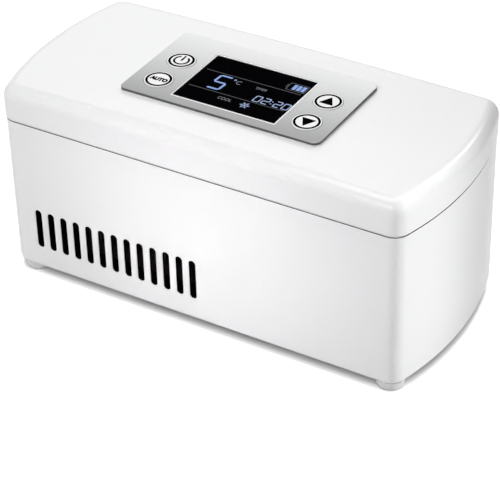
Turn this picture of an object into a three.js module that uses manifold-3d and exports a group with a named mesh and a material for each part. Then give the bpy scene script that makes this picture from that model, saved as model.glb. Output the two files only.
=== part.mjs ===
// Insulin cooling case: a thermoelectric travel cooler with a hinged lid and a control panel.
// Millimetres, +X along the case to the right, +Y to the rear, +Z up, the floor at zero.
import * as THREE from 'three';
import { mergeVertices } from 'three/addons/utils/BufferGeometryUtils.js';
import Module from 'manifold-3d';

const wasm = await Module();
wasm.setup();

// Fit between neighbouring pieces, and how far a cut runs past the face that it opens
const clearance = 0.3;
const overcut = 1;

// Pen chamber, which sets the size of the case round it
const chamberLength = 183;
const chamberWidth = 59;
const chamberDepth = 29;
const chamberSheet = 1.2;
const chamberCorner = 6;
const flangeWidth = 6;
const flangeThickness = 1;

// Outer case
const endRoom = 18.5;
const sideRoom = 20.5;
const endBulge = 8.5;
const cornerRadius = 8;
const housingWall = 3;
const rimWall = 1.8;
const rimHeight = 2;
const rimChamfer = 0.4;
const bottomFillet = 3;
const floorThickness = 5;
const seamGap = 0.6;

// Feet
const footRadius = 6.6;
const footHeight = 5;
const footRounding = 1;
const footEndInset = 15;
const footSideInset = 9;

// Base cover and its seat in the floor of the housing
const coverThickness = 3;
const coverEndInset = 16.4;
const coverSideRoom = 0.8;
const coverLedge = 6;
const coverCorner = 5;
const grilleSlotWidth = 3.2;
const grillePitch = 6;
const grilleMargin = 2;

// Ventilation slots in the front and rear walls
const slotCount = 13;
const slotPitch = 7.07;
const slotWidth = 3.5;
const slotHeight = 20.85;
const slotRise = 12.3;
const ventWall = 1.5;
const ventMargin = 4;

// Cooling stack, from the fan up to the chamber
const fanSize = 60;
const fanThickness = 10;
const fanRim = 1.5;
const fanCorner = 4;
const fanHubRadius = 13;
const fanHubHeight = 6.7;
const fanHubWall = 1.2;
const fanShaftRadius = 1;
const fanBearingWall = 1.9;
const fanPlate = 2.4;
const fanStrutWidth = 4;
const fanBladeCount = 7;
const fanBladeChord = 9;
const fanBladeThickness = 1;
const fanBladePitch = 35;
const fanBladeGap = 0.9;
const fanScrewEdge = 5;
const finGap = 0.6;
const finHeight = 18;
const finThickness = 1.2;
const finPitch = 6;
const sinkWidth = 70;
const sinkBase = 4;
const moduleSize = 40;
const moduleThickness = 3.6;
const blockWidth = 44;
const blockHeight = 8.8;
const clampEdge = 3;
const clampCover = 2.2;
const foamThickness = 8.4;
const foamEndThickness = 4;

// Deck round the chamber's mouth
const deckThickness = 2.5;

// Battery, its cradle and its door
const batteryLength = 70;
const batteryWidth = 57;
const batteryHeight = 21;
const batteryRounding = 4;
const batteryFit = 0.7;
const cradleWall = 2;
const earLength = 6.4;
const earWidth = 12;
const earHeight = 3.5;
const doorThickness = 2;
const doorLip = 2;
const leadRoom = 7.1;
const leadRadius = 1.5;
const leadSide = 10;
const leadStraight = 3;
const leadRise = 5;
const plugLength = 5;
const plugWidth = 7;
const plugHeight = 5;
const plugEdge = 3;
const socketLength = 8;
const socketWall = 1;

// Main board on top of the cradle
const boardThickness = 1.6;
const boardLength = 68;
const boardWidth = 56;
const standoffHeight = 3;
const standoffRadius = 3;

// Parts that stand on the main board, by their place from its middle
const inductorPlace = [10, -12];
const inductorSize = 12;
const inductorRounding = 2;
const inductorHeight = 6;
const capacitorPlace = [22, 14];
const capacitorRadius = 4;
const capacitorHeight = 6;
const chipPlace = [-10, -12];
const chipSize = 10;
const chipHeight = 1.4;

// Power inlet in the rear wall
const jackFromEnd = 35;
const jackRise = 17;
const jackFlangeRadius = 5.5;
const jackFlange = 1.5;
const jackBarrelRadius = 4;
const jackLength = 14;
const jackSocketRadius = 2.8;
const jackSocketDepth = 9;
const jackPinRadius = 1.05;
const jackNutRadius = 6;
const jackNutThickness = 2.4;

// Lid
const lidHeight = 17.9;
const lidWall = 3;
const lidRoof = 3;
const lidFillet = 6.5;
const lidCrown = 1.45;
const lidOverhang = 0.3;
const lidEdge = 0.4;
const lidInnerChamfer = 4;
const linerThickness = 2;
const plugDrop = 4.6;
const plugGap = 2;
const plugWall = 2;
const gasketWidth = 4;
const postRadius = 3.5;
const postEndInset = 12;
const postSideInset = 12;
const postRooting = 0.5;
const lidScrewGrip = 8;

// Control panel, display and buttons
const panelLength = 102.5;
const panelWidth = 57.2;
const panelOffset = 0.6;
const panelThickness = 2.6;
const panelSeatDepth = 1;
const panelCorner = 3.5;
const panelBevel = 0.4;
const windowSideGap = 5.4;
const windowWidth = 40;
const windowOffset = -2.2;
const windowSink = 0.3;
const windowLand = 1.8;
const displayBoardMargin = 11.8;
const displayBoardInset = 4.65;
const bossRadius = 2.5;
const bossInset = 3;
const buttonRadius = 6.6;
const buttonFlange = 0.9;
const buttonFlangeThickness = 1.2;
const buttonProud = 0.3;
const buttonTravel = 0.5;
const buttonEdge = 12.95;
const buttonSpacing = 19.4;
const buttonRowOffset = -4.6;
const switchSize = 6;
const switchBody = 1.2;
const switchPlunger = 0.6;
const switchPlungerRadius = 1.6;

// Hinge behind the seam
const hingeEndInset = 48;
const hingeLength = 40;
const hingeMiddle = 15;
const knuckleRadius = 3;
const knuckleWallGap = 0.4;
const knuckleReach = 9;
const knuckleRooting = 1;
const pinRadius = 1.2;

// Screws
const screwHeadRadius = 2.2;
const screwHeadHeight = 1.3;
const screwShankRadius = 1.1;

// Fineness of round shapes
const cornerSteps = 4;
const endSteps = 3;
const roundSides = 20;
const smallSides = 8;
const filletSteps = 4;
const crownSteps = 4;
const leadSteps = 14;

// Plan of the case
const halfLength = chamberLength / 2 + endRoom;
const halfWidth = chamberWidth / 2 + sideRoom;
const endRadius = (halfWidth ** 2 + endBulge ** 2) / (2 * endBulge);
const endCentreX = halfLength - endRadius;
const cornerCentreY = halfWidth - cornerRadius;
const cornerCentreX = endCentreX + Math.sqrt((endRadius - cornerRadius) ** 2 - cornerCentreY ** 2);

// Levels, stacked from the floor up
const underside = footHeight;
const coverTop = underside + coverThickness;
const floorTop = underside + floorThickness;
const fanTop = coverTop + fanThickness;
const finTip = fanTop + finGap;
const sinkUnder = finTip + finHeight;
const sinkTop = sinkUnder + sinkBase;
const moduleTop = sinkTop + moduleThickness;
const blockTop = moduleTop + blockHeight;
const chamberFloor = blockTop + chamberSheet;
const chamberRim = chamberFloor + chamberDepth;
const deckTop = chamberRim - flangeThickness;
const deckUnder = deckTop - deckThickness;
const housingTop = deckTop + rimHeight;
const lidBottom = housingTop + seamGap;
const lidTop = lidBottom + lidHeight;
const lidCeiling = lidTop - lidRoof;
const linerTop = lidBottom + linerThickness;
const panelSeat = lidTop - panelSeatDepth;
const panelTop = panelSeat + panelThickness;
const buttonFlangeTop = panelSeat - clearance;
const buttonFlangeUnder = buttonFlangeTop - buttonFlangeThickness;
const switchTop = buttonFlangeUnder - buttonTravel - clearance;
const displayBoardTop = switchTop - switchBody - switchPlunger;
const displayBoardUnder = displayBoardTop - boardThickness;
const doorTop = underside + doorThickness;
const batteryTop = doorTop + batteryHeight;
const cradleCeiling = batteryTop + batteryFit;
const cradleTop = cradleCeiling + cradleWall;
const boardUnder = cradleTop + standoffHeight;
const boardTop = boardUnder + boardThickness;

// Places along the case: cover, cradle, lead and cooling stack follow each other from the right,
// and the heat sink has as many fins as fit in the length that is left
const coverHalfLength = halfLength - coverEndInset;
const openingHalfLength = coverHalfLength - coverLedge;
const cradleHalfLength = batteryLength / 2 + batteryFit + cradleWall;
const cradleHalfWidth = batteryWidth / 2 + batteryFit + cradleWall;
const openingHalfWidth = Math.max(cradleHalfWidth, fanSize / 2) + coverSideRoom;
const coverHalfWidth = openingHalfWidth + coverLedge;
const batteryX = openingHalfLength - clearance - earLength - cradleHalfLength;
const sinkRight = batteryX - cradleHalfLength - leadRoom;
const sinkRoom = sinkRight + openingHalfLength;
const finCount = Math.floor((sinkRoom - finThickness) / finPitch) + 1;
const sinkLength = (finCount - 1) * finPitch + finThickness;
const sinkX = sinkRight - sinkLength / 2;
const fanBoreRadius = fanSize / 2 - fanRim;

// Clamp screws stand in the first gaps between fins that clear the Peltier module
const finPhase = finCount % 2 === 0 ? 0 : 0.5;
const clampNearest = moduleSize / 2 + screwShankRadius + clearance;
const clampX = (Math.ceil(clampNearest / finPitch - finPhase) + finPhase) * finPitch;
const blockLength = 2 * (clampX + clampEdge);

// Hinge line
const hingeY = halfWidth + knuckleWallGap + knuckleRadius;
const hingeZ = (housingTop + lidBottom) / 2;
const rearReach = knuckleWallGap + 2 * knuckleRadius;

// Buttons stand beside the display window, two on each side
const buttonX = panelLength / 2 - buttonEdge;
const windowLength = 2 * (buttonX - buttonRadius - windowSideGap);
const buttonRows = [buttonRowOffset + buttonSpacing / 2, buttonRowOffset - buttonSpacing / 2];
const displayBoardHalfLength = buttonX + displayBoardMargin;
const displayBoardHalfWidth = panelWidth / 2 - displayBoardInset;

// Turns that lay a shape's depth along Y or along X, and a lathe's axis along Z
const depthAlongY = new THREE.Matrix4().set(1, 0, 0, 0, 0, 0, -1, 0, 0, 1, 0, 0, 0, 0, 0, 1);
const depthAlongX = new THREE.Matrix4().set(0, 0, 1, 0, 1, 0, 0, 0, 0, 1, 0, 0, 0, 0, 0, 1);

function toSolid(geometry) {
  geometry.deleteAttribute('normal');
  geometry.deleteAttribute('uv');
  const merged = mergeVertices(geometry);
  const vertProperties = new Float32Array(merged.attributes.position.array);
  const triVerts = new Uint32Array(merged.index.array);
  return new wasm.Manifold(new wasm.Mesh({ numProp: 3, vertProperties, triVerts }));
}

function toGeometry(solid) {
  const mesh = solid.getMesh();
  const geometry = new THREE.BufferGeometry();
  geometry.setAttribute('position', new THREE.BufferAttribute(mesh.vertProperties, 3));
  geometry.setIndex(new THREE.BufferAttribute(mesh.triVerts, 1));
  geometry.computeVertexNormals();
  return geometry;
}

function joinAll(solids) {
  return solids.reduce((whole, solid) => whole.add(solid));
}

function cutAll(solid, cutters) {
  return cutters.reduce((rest, cutter) => rest.subtract(cutter), solid);
}

// Block between two corners
function block(x0, x1, y0, y1, z0, z1) {
  const geometry = new THREE.BoxGeometry(1, 1, 1);
  const position = geometry.attributes.position;
  for (let i = 0; i < position.count; i += 1) {
    const x = position.getX(i) < 0 ? x0 : x1;
    const y = position.getY(i) < 0 ? y0 : y1;
    const z = position.getZ(i) < 0 ? z0 : z1;
    position.setXYZ(i, x, y, z);
  }
  return toSolid(geometry);
}

// Block centred on a point of the plan, between two levels
function plate(x, y, length, width, z0, z1) {
  return block(x - length / 2, x + length / 2, y - width / 2, y + width / 2, z0, z1);
}

// A flat shape carried from one depth to another
function prism(shape, from, to, arcSteps = 2) {
  const options = { depth: 1, bevelEnabled: false, curveSegments: arcSteps };
  const geometry = new THREE.ExtrudeGeometry(shape, options);
  const position = geometry.attributes.position;
  for (let i = 0; i < position.count; i += 1) {
    position.setZ(i, position.getZ(i) < 0.5 ? from : to);
  }
  return geometry;
}

// Rectangle with round corners, centred on a point
function roundedRectangle(length, width, radius, x = 0, y = 0) {
  const shape = new THREE.Shape();
  const right = x + length / 2 - radius;
  const left = x - length / 2 + radius;
  const back = y + width / 2 - radius;
  const front = y - width / 2 + radius;
  shape.absarc(right, back, radius, 0, Math.PI / 2);
  shape.absarc(left, back, radius, Math.PI / 2, Math.PI);
  shape.absarc(left, front, radius, Math.PI, Math.PI * 1.5);
  shape.absarc(right, front, radius, Math.PI * 1.5, Math.PI * 2);
  shape.closePath();
  return shape;
}

function roundedPlate(length, width, radius, z0, z1, x = 0, y = 0) {
  return toSolid(prism(roundedRectangle(length, width, radius, x, y), z0, z1));
}

// Body of revolution about a vertical line; the profile lists radius and level from the bottom up
function turned(profile, x, y, sides = roundSides) {
  const points = profile.map(([radius, z]) => new THREE.Vector2(radius, z));
  const geometry = new THREE.LatheGeometry(points, sides);
  geometry.applyMatrix4(depthAlongY);
  geometry.translate(x, y, 0);
  return toSolid(geometry);
}

function upright(radius, x, y, z0, z1, sides = roundSides) {
  return turned([[0, z0], [radius, z0], [radius, z1], [0, z1]], x, y, sides);
}

// Half of the front edge of the plan, from the middle to the tip of the right end
function frontRightChain(inset, straightSteps) {
  const chain = [];
  const meeting = Math.atan2(cornerCentreY, cornerCentreX - endCentreX);
  for (let i = 1; i < straightSteps; i += 1) {
    chain.push([(cornerCentreX * i) / straightSteps, inset - halfWidth]);
  }
  for (let i = 0; i <= cornerSteps; i += 1) {
    const angle = -Math.PI / 2 + ((Math.PI / 2 - meeting) * i) / cornerSteps;
    const radius = cornerRadius - inset;
    chain.push([cornerCentreX + radius * Math.cos(angle), radius * Math.sin(angle) - cornerCentreY]);
  }
  for (let i = 1; i <= endSteps; i += 1) {
    const angle = meeting * (i / endSteps - 1);
    const radius = endRadius - inset;
    chain.push([endCentreX + radius * Math.cos(angle), radius * Math.sin(angle)]);
  }
  return chain;
}

// Case-shaped body through a stack of levels, each with its inset and its fall towards the ends
function caseLoft(levels, straightSteps = 1) {
  const positions = [];
  const triangles = [];
  let tip = 0;
  levels.forEach(({ z, inset, crown = 0 }) => {
    const right = frontRightChain(inset, straightSteps);
    const left = right.map(([x, y]) => [-x, y]).reverse();
    const front = [...left, ...right];
    const back = front.slice(1, -1).reverse().map(([x, y]) => [x, -y]);
    tip = front.length - 1;
    [...front, ...back].forEach(([x, y]) => {
      positions.push(x, y, z - crown * (x / halfLength) ** 2);
    });
  });
  const ringSize = 2 * tip;
  for (let level = 0; level + 1 < levels.length; level += 1) {
    for (let i = 0; i < ringSize; i += 1) {
      const next = (i + 1) % ringSize;
      const low = level * ringSize;
      const high = low + ringSize;
      triangles.push(low + i, low + next, high + next, low + i, high + next, high + i);
    }
  }
  const top = (levels.length - 1) * ringSize;
  const opposite = (i) => (ringSize - i) % ringSize;
  for (let i = 0; i < tip; i += 1) {
    const corners = [i, i + 1, opposite(i + 1), opposite(i)];
    const [a, b, c, d] = corners;
    if (b !== c) {
      triangles.push(top + a, top + b, top + c, c, b, a);
    }
    if (a !== d) {
      triangles.push(top + a, top + c, top + d, d, c, a);
    }
  }
  const geometry = new THREE.BufferGeometry();
  geometry.setAttribute('position', new THREE.Float32BufferAttribute(positions, 3));
  geometry.setIndex(triangles);
  return toSolid(geometry);
}

// The four places of a pattern that repeats in both halves of the plan
function fourCorners(x, y) {
  return [[-x, -y], [x, -y], [-x, y], [x, y]];
}

// Screw that points up, with its head below
function screw(x, y, headUnder, shankTop) {
  const headTop = headUnder + screwHeadHeight;
  const profile = [
    [0, headUnder], [screwHeadRadius, headUnder], [screwHeadRadius, headTop],
    [screwShankRadius, headTop], [screwShankRadius, shankTop], [0, shankTop],
  ];
  return turned(profile, x, y, smallSides);
}

// Hole for such a screw, with room for its head
function screwHole(x, y, headUnder, shankTop) {
  const headTop = headUnder + screwHeadHeight;
  const headRoom = upright(screwHeadRadius + clearance, x, y, headUnder - overcut, headTop, smallSides);
  return headRoom.add(upright(screwShankRadius + clearance, x, y, headUnder, shankTop, smallSides));
}

// One knuckle of the hinge: a barrel and the web that carries it from a wall of the case
function knuckle(xFrom, xTo, upward) {
  const side = upward ? 1 : -1;
  const barrel = new THREE.Shape();
  barrel.absarc(hingeY, hingeZ, knuckleRadius, 0, Math.PI * 2);
  const cheek = knuckleRadius * Math.SQRT1_2;
  const rootY = halfWidth - lidOverhang - knuckleRooting;
  const edgeZ = upward ? lidBottom : housingTop - rimChamfer;
  const web = new THREE.Shape();
  web.moveTo(rootY, edgeZ);
  web.lineTo(hingeY, edgeZ);
  web.lineTo(hingeY + cheek, hingeZ + side * cheek);
  web.lineTo(rootY, hingeZ + side * knuckleReach);
  web.closePath();
  const geometries = [prism(barrel, xFrom, xTo, smallSides), prism(web, xFrom, xTo)];
  return joinAll(geometries.map((geometry) => toSolid(geometry.applyMatrix4(depthAlongX))));
}

// Rod along the hinge line
function hingeRod(radius, xFrom, xTo) {
  const circle = new THREE.Shape();
  circle.absarc(hingeY, hingeZ, radius, 0, Math.PI * 2);
  return toSolid(prism(circle, xFrom, xTo, smallSides / 2).applyMatrix4(depthAlongX));
}

// Middle knuckles belong to the lid, and the outer two of each hinge to the housing
const hingeCentres = [hingeEndInset - halfLength, halfLength - hingeEndInset];
const middleHalf = hingeMiddle / 2;
const hingeHalf = hingeLength / 2;

function hingeBores() {
  const boreRadius = pinRadius + clearance;
  return hingeCentres.map((x) => hingeRod(boreRadius, x - hingeHalf - overcut, x + hingeHalf + overcut));
}

function housingKnuckles() {
  return hingeCentres.flatMap((x) => [
    knuckle(x - hingeHalf, x - middleHalf - clearance, false),
    knuckle(x + middleHalf + clearance, x + hingeHalf, false),
  ]);
}

function lidKnuckles() {
  return hingeCentres.map((x) => knuckle(x - middleHalf, x + middleHalf, true));
}

// Round-ended slot, cut along Y through one wall
function ventSlot(x, wallY) {
  const radius = slotWidth / 2;
  const low = underside + slotRise + radius;
  const high = underside + slotRise + slotHeight - radius;
  const shape = new THREE.Shape();
  shape.absarc(x, high, radius, 0, Math.PI);
  shape.absarc(x, low, radius, Math.PI, Math.PI * 2);
  shape.closePath();
  const half = housingWall + overcut;
  return toSolid(prism(shape, -wallY - half, -wallY + half).applyMatrix4(depthAlongY));
}

// Pocket that thins the wall from inside, round the slots
function ventPocket(side) {
  const outer = halfWidth - lidOverhang - ventWall;
  const inner = halfWidth - lidOverhang - housingWall - overcut;
  const length = (slotCount - 1) * slotPitch + slotWidth + 2 * ventMargin;
  const low = underside + slotRise - ventMargin;
  const high = underside + slotRise + slotHeight + ventMargin;
  const nearest = Math.min(side * inner, side * outer);
  const furthest = Math.max(side * inner, side * outer);
  return block(sinkX - length / 2, sinkX + length / 2, nearest, furthest, low, high);
}

function ventSlots() {
  const first = sinkX - ((slotCount - 1) * slotPitch) / 2;
  const places = Array.from({ length: slotCount }, (_, i) => first + i * slotPitch);
  return places.flatMap((x) => [ventSlot(x, -halfWidth), ventSlot(x, halfWidth)]);
}

// Round body about a line along Y; the profile lists radius and depth inwards from the rear wall
const jackX = halfLength - jackFromEnd;
const jackZ = underside + jackRise;
const jackWallY = halfWidth - lidOverhang;

function rearTurned(profile) {
  const points = profile.map(([radius, depth]) => new THREE.Vector2(radius, jackWallY - depth));
  const geometry = new THREE.LatheGeometry(points, roundSides);
  geometry.translate(jackX, 0, jackZ);
  return toSolid(geometry);
}

// Screws of the base cover sit in the middle of its end ledges
const coverScrewX = coverHalfLength - coverLedge / 2;
const coverScrewY = openingHalfWidth - coverLedge / 2;
const coverScrewTop = floorTop - clearance;

function lowerHousing() {
  const levels = [];
  for (let i = 0; i <= filletSteps; i += 1) {
    const angle = (i / filletSteps) * (Math.PI / 2);
    const inset = lidOverhang + bottomFillet * (1 - Math.sin(angle));
    levels.push({ z: underside + bottomFillet * (1 - Math.cos(angle)), inset });
  }
  levels.push({ z: housingTop - rimChamfer, inset: lidOverhang });
  levels.push({ z: housingTop, inset: lidOverhang + rimChamfer });
  const cavity = caseLoft([
    { z: floorTop, inset: lidOverhang + housingWall },
    { z: deckUnder, inset: lidOverhang + housingWall },
    { z: deckUnder, inset: lidOverhang + rimWall },
    { z: housingTop + overcut, inset: lidOverhang + rimWall },
  ]);
  const opening = roundedPlate(
    2 * openingHalfLength, 2 * openingHalfWidth, coverCorner, underside - overcut, floorTop + overcut,
  );
  const rebate = roundedPlate(
    2 * coverHalfLength, 2 * coverHalfWidth, coverCorner, underside - overcut, coverTop,
  );
  const pilots = fourCorners(coverScrewX, coverScrewY).map(([x, y]) => (
    upright(screwShankRadius + clearance, x, y, underside, floorTop + overcut, smallSides)
  ));
  const hole = jackBarrelRadius + clearance;
  const jackHole = rearTurned([
    [0, housingWall + overcut], [hole, housingWall + overcut], [hole, -overcut], [0, -overcut],
  ]);
  const shell = joinAll([caseLoft(levels), ...housingKnuckles()]);
  return cutAll(shell, [
    cavity, opening, rebate, jackHole, ventPocket(-1), ventPocket(1),
    ...pilots, ...ventSlots(), ...hingeBores(),
  ]);
}

// Door lugs stand past both ends of the cradle
const doorScrewX = cradleHalfLength + earLength / 2;
const doorHalfLength = cradleHalfLength + earLength;
const doorHalfWidth = cradleHalfWidth + doorLip;
const doorScrewTop = coverTop + earHeight - clearance;
const doorScrewPlaces = [[batteryX - doorScrewX, 0], [batteryX + doorScrewX, 0]];
const fanScrewTop = coverTop + fanThickness / 2;
const fanScrewHalf = fanSize / 2 - fanScrewEdge;
const fanScrewPlaces = [
  [sinkX - fanScrewHalf, -fanScrewHalf], [sinkX + fanScrewHalf, fanScrewHalf],
];

function grilleSlots() {
  const reach = fanBoreRadius - grilleMargin;
  const rows = Math.floor(reach / grillePitch - 0.5);
  const slots = [];
  for (let row = -rows - 1; row <= rows; row += 1) {
    const y = (row + 0.5) * grillePitch;
    const length = 2 * Math.sqrt(reach ** 2 - y ** 2);
    slots.push(plate(sinkX, y, length, grilleSlotWidth, underside - overcut, coverTop + overcut));
  }
  return slots;
}

function baseCover() {
  const panel = roundedPlate(
    2 * (coverHalfLength - clearance), 2 * (coverHalfWidth - clearance), coverCorner - clearance,
    underside, coverTop,
  );
  const batteryMouth = plate(
    batteryX, 0, batteryLength + 2 * batteryFit, batteryWidth + 2 * batteryFit,
    underside - overcut, coverTop + overcut,
  );
  const doorSeat = plate(
    batteryX, 0, 2 * (doorHalfLength + clearance), 2 * (doorHalfWidth + clearance),
    underside - overcut, doorTop,
  );
  const holes = [
    ...fourCorners(coverScrewX, coverScrewY).map(([x, y]) => (
      screwHole(x, y, underside, coverTop + overcut)
    )),
    ...fanScrewPlaces.map(([x, y]) => screwHole(x, y, underside, coverTop + overcut)),
    ...doorScrewPlaces.map(([x, y]) => (
      upright(screwShankRadius + clearance, x, y, underside, coverTop + overcut, smallSides)
    )),
  ];
  return cutAll(panel, [batteryMouth, doorSeat, ...grilleSlots(), ...holes]);
}

function batteryDoor() {
  const panel = plate(batteryX, 0, 2 * doorHalfLength, 2 * doorHalfWidth, underside, doorTop);
  return cutAll(panel, doorScrewPlaces.map(([x, y]) => screwHole(x, y, underside, doorTop + overcut)));
}

function foot(x, y) {
  const profile = [
    [0, 0], [footRadius - footRounding, 0], [footRadius, footRounding],
    [footRadius, footHeight], [0, footHeight],
  ];
  return turned(profile, x, y);
}

// Fan frame with its motor plate, struts and bearing tube
function fanFrame() {
  const plateTop = coverTop + fanPlate;
  const tubeRadius = fanShaftRadius + clearance + fanBearingWall;
  const tubeTop = coverTop + fanPlate + fanHubHeight - 2 * fanHubWall;
  const frame = roundedPlate(fanSize, fanSize, fanCorner, coverTop, fanTop, sinkX, 0);
  const bore = upright(fanBoreRadius, sinkX, 0, coverTop - overcut, fanTop + overcut, 2 * roundSides);
  const shaftHole = upright(
    fanShaftRadius + clearance, sinkX, 0, coverTop + fanHubWall - clearance, tubeTop + overcut, smallSides,
  );
  const screwRooms = fanScrewPlaces.map(([x, y]) => (
    upright(screwShankRadius + clearance, x, y, coverTop - overcut, fanScrewTop + clearance, smallSides)
  ));
  const strutLength = 2 * fanBoreRadius + overcut;
  const inner = joinAll([
    plate(sinkX, 0, strutLength, fanStrutWidth, coverTop, plateTop),
    plate(sinkX, 0, fanStrutWidth, strutLength, coverTop, plateTop),
    upright(fanHubRadius, sinkX, 0, coverTop, plateTop),
    upright(tubeRadius, sinkX, 0, coverTop, tubeTop, smallSides),
  ]);
  return cutAll(frame.subtract(bore).add(inner), [shaftHole, ...screwRooms]);
}

// Fan wheel: a cup on a shaft, with pitched blades round it
function fanRotor() {
  const under = coverTop + fanPlate + clearance;
  const top = under + fanHubHeight;
  const ceiling = top - fanHubWall;
  const hub = turned([
    [0, coverTop + fanHubWall], [fanShaftRadius, coverTop + fanHubWall],
    [fanShaftRadius, ceiling], [fanHubRadius - fanHubWall, ceiling],
    [fanHubRadius - fanHubWall, under], [fanHubRadius, under], [fanHubRadius, top], [0, top],
  ], sinkX, 0);
  const bladeFrom = fanHubRadius - fanHubWall / 2;
  const bladeTo = fanBoreRadius - fanBladeGap;
  const blades = Array.from({ length: fanBladeCount }, (_, i) => {
    const geometry = new THREE.BoxGeometry(bladeTo - bladeFrom, fanBladeChord, fanBladeThickness);
    geometry.rotateX(THREE.MathUtils.degToRad(fanBladePitch));
    geometry.translate((bladeFrom + bladeTo) / 2, 0, 0);
    geometry.rotateZ((i * 2 * Math.PI) / fanBladeCount);
    geometry.translate(sinkX, 0, (under + top) / 2);
    return toSolid(geometry);
  });
  const trimmed = blades.map((blade) => (
    blade.intersect(upright(bladeTo, sinkX, 0, under, top, 2 * roundSides))
  ));
  return joinAll([hub, ...trimmed]);
}

// Clamp screws pull the heat sink up against the cold block
const clampPlaces = [[sinkX - clampX, 0], [sinkX + clampX, 0]];
const clampTop = blockTop - clampCover;
const clampHead = sinkUnder - screwHeadHeight;

function clampHole([x, y]) {
  return upright(screwShankRadius + clearance, x, y, sinkUnder - overcut, clampTop + clearance, smallSides);
}

function heatSink() {
  const base = plate(sinkX, 0, sinkLength, sinkWidth, sinkUnder, sinkTop);
  const fins = Array.from({ length: finCount }, (_, i) => {
    const x = sinkX + (i - (finCount - 1) / 2) * finPitch;
    return plate(x, 0, finThickness, sinkWidth, finTip, sinkTop);
  });
  const headRooms = clampPlaces.map(([x, y]) => (
    upright(screwHeadRadius + clearance, x, y, finTip - overcut, sinkUnder, smallSides)
  ));
  return cutAll(joinAll([base, ...fins]), [...headRooms, ...clampPlaces.map(clampHole)]);
}

function coldBlock() {
  const body = plate(sinkX, 0, blockLength, blockWidth, moduleTop, blockTop);
  return cutAll(body, clampPlaces.map(clampHole));
}

// Pen chamber: a sheet trough with a flange that lies on the deck
const troughLength = chamberLength + 2 * chamberSheet;
const troughWidth = chamberWidth + 2 * chamberSheet;
const troughCorner = chamberCorner + chamberSheet;

function coolingChamber() {
  const trough = roundedPlate(troughLength, troughWidth, troughCorner, blockTop, chamberRim);
  const flange = roundedPlate(
    troughLength + 2 * flangeWidth, troughWidth + 2 * flangeWidth, troughCorner + flangeWidth,
    deckTop, chamberRim,
  );
  const inside = roundedPlate(
    chamberLength, chamberWidth, chamberCorner, chamberFloor, chamberRim + overcut,
  );
  return trough.add(flange).subtract(inside);
}

function troughRoom(z0, z1) {
  return roundedPlate(
    troughLength + 2 * clearance, troughWidth + 2 * clearance, troughCorner + clearance, z0, z1,
  );
}

function chamberDeck() {
  const inset = lidOverhang + rimWall + clearance;
  const deck = caseLoft([{ z: deckUnder, inset }, { z: deckTop, inset }]);
  return deck.subtract(troughRoom(deckUnder - overcut, deckTop + overcut));
}

function insulationTub() {
  const tub = roundedPlate(
    troughLength + 2 * foamEndThickness, troughWidth + 2 * foamThickness, troughCorner,
    moduleTop + clearance, deckUnder - clearance,
  );
  const blockRoom = plate(
    sinkX, 0, blockLength + 2 * clearance, blockWidth + 2 * clearance, moduleTop - overcut, blockTop,
  );
  return cutAll(tub, [troughRoom(blockTop - clearance, deckUnder), blockRoom]);
}

// Cradle: an upturned tray over the battery, with ears for the door screws and board standoffs
const standoffX = boardLength / 2 - standoffRadius;
const standoffY = boardWidth / 2 - standoffRadius;
const leadLevel = (doorTop + batteryTop) / 2;

function batteryCradle() {
  const outside = plate(batteryX, 0, 2 * cradleHalfLength, 2 * cradleHalfWidth, coverTop, cradleTop);
  const ears = plate(batteryX, 0, 2 * doorHalfLength, earWidth, coverTop, coverTop + earHeight);
  const standoffs = fourCorners(standoffX, standoffY).map(([x, y]) => (
    upright(standoffRadius, batteryX + x, y, cradleTop - overcut, boardUnder, smallSides)
  ));
  const inside = plate(
    batteryX, 0, batteryLength + 2 * batteryFit, batteryWidth + 2 * batteryFit,
    coverTop - overcut, cradleCeiling,
  );
  const leadNotch = plate(
    batteryX - cradleHalfLength, leadSide, 4 * cradleWall, 4 * leadRadius,
    coverTop - overcut, leadLevel + 2 * leadRadius,
  );
  const earHoles = doorScrewPlaces.map(([x, y]) => (
    upright(
      screwShankRadius + clearance, x, y, coverTop - overcut, coverTop + earHeight + overcut, smallSides,
    )
  ));
  return cutAll(joinAll([outside, ears, ...standoffs]), [inside, leadNotch, ...earHoles]);
}

// Wrapped battery: rounded along its length
function batteryPack() {
  const section = roundedRectangle(
    batteryWidth, batteryHeight, batteryRounding, 0, (doorTop + batteryTop) / 2,
  );
  const left = batteryX - batteryLength / 2;
  return toSolid(prism(section, left, left + batteryLength).applyMatrix4(depthAlongX));
}

// Battery plug, its socket on the board, and the lead between the battery and the plug
const boardLeft = batteryX - boardLength / 2;
const plugLeft = boardLeft + plugEdge;
const socketLeft = plugLeft + plugLength;
const plugMiddle = boardTop + clearance + plugHeight / 2;

function batteryLead() {
  const start = batteryX - batteryLength / 2 - clearance;
  const bend = batteryX - cradleHalfLength - leadRoom / 2 - clearance;
  const route = new THREE.CatmullRomCurve3([
    new THREE.Vector3(start, leadSide, leadLevel),
    new THREE.Vector3(start - leadStraight, leadSide, leadLevel),
    new THREE.Vector3(bend, leadSide, leadLevel + leadRise),
    new THREE.Vector3(bend, leadSide, plugMiddle - leadRise),
    new THREE.Vector3(plugLeft - clearance - leadStraight, leadSide, plugMiddle),
    new THREE.Vector3(plugLeft - clearance, leadSide, plugMiddle),
  ], false, 'centripetal');
  const section = new THREE.Shape();
  for (let i = 0; i < smallSides; i += 1) {
    const angle = (i * 2 * Math.PI) / smallSides;
    const point = [leadRadius * Math.cos(angle), leadRadius * Math.sin(angle)];
    if (i === 0) section.moveTo(...point);
    else section.lineTo(...point);
  }
  section.closePath();
  const options = { steps: leadSteps, bevelEnabled: false, extrudePath: route };
  return toSolid(new THREE.ExtrudeGeometry(section, options));
}

function batteryPlug() {
  return block(
    plugLeft, socketLeft, leadSide - plugWidth / 2, leadSide + plugWidth / 2,
    boardTop + clearance, boardTop + clearance + plugHeight,
  );
}

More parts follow.
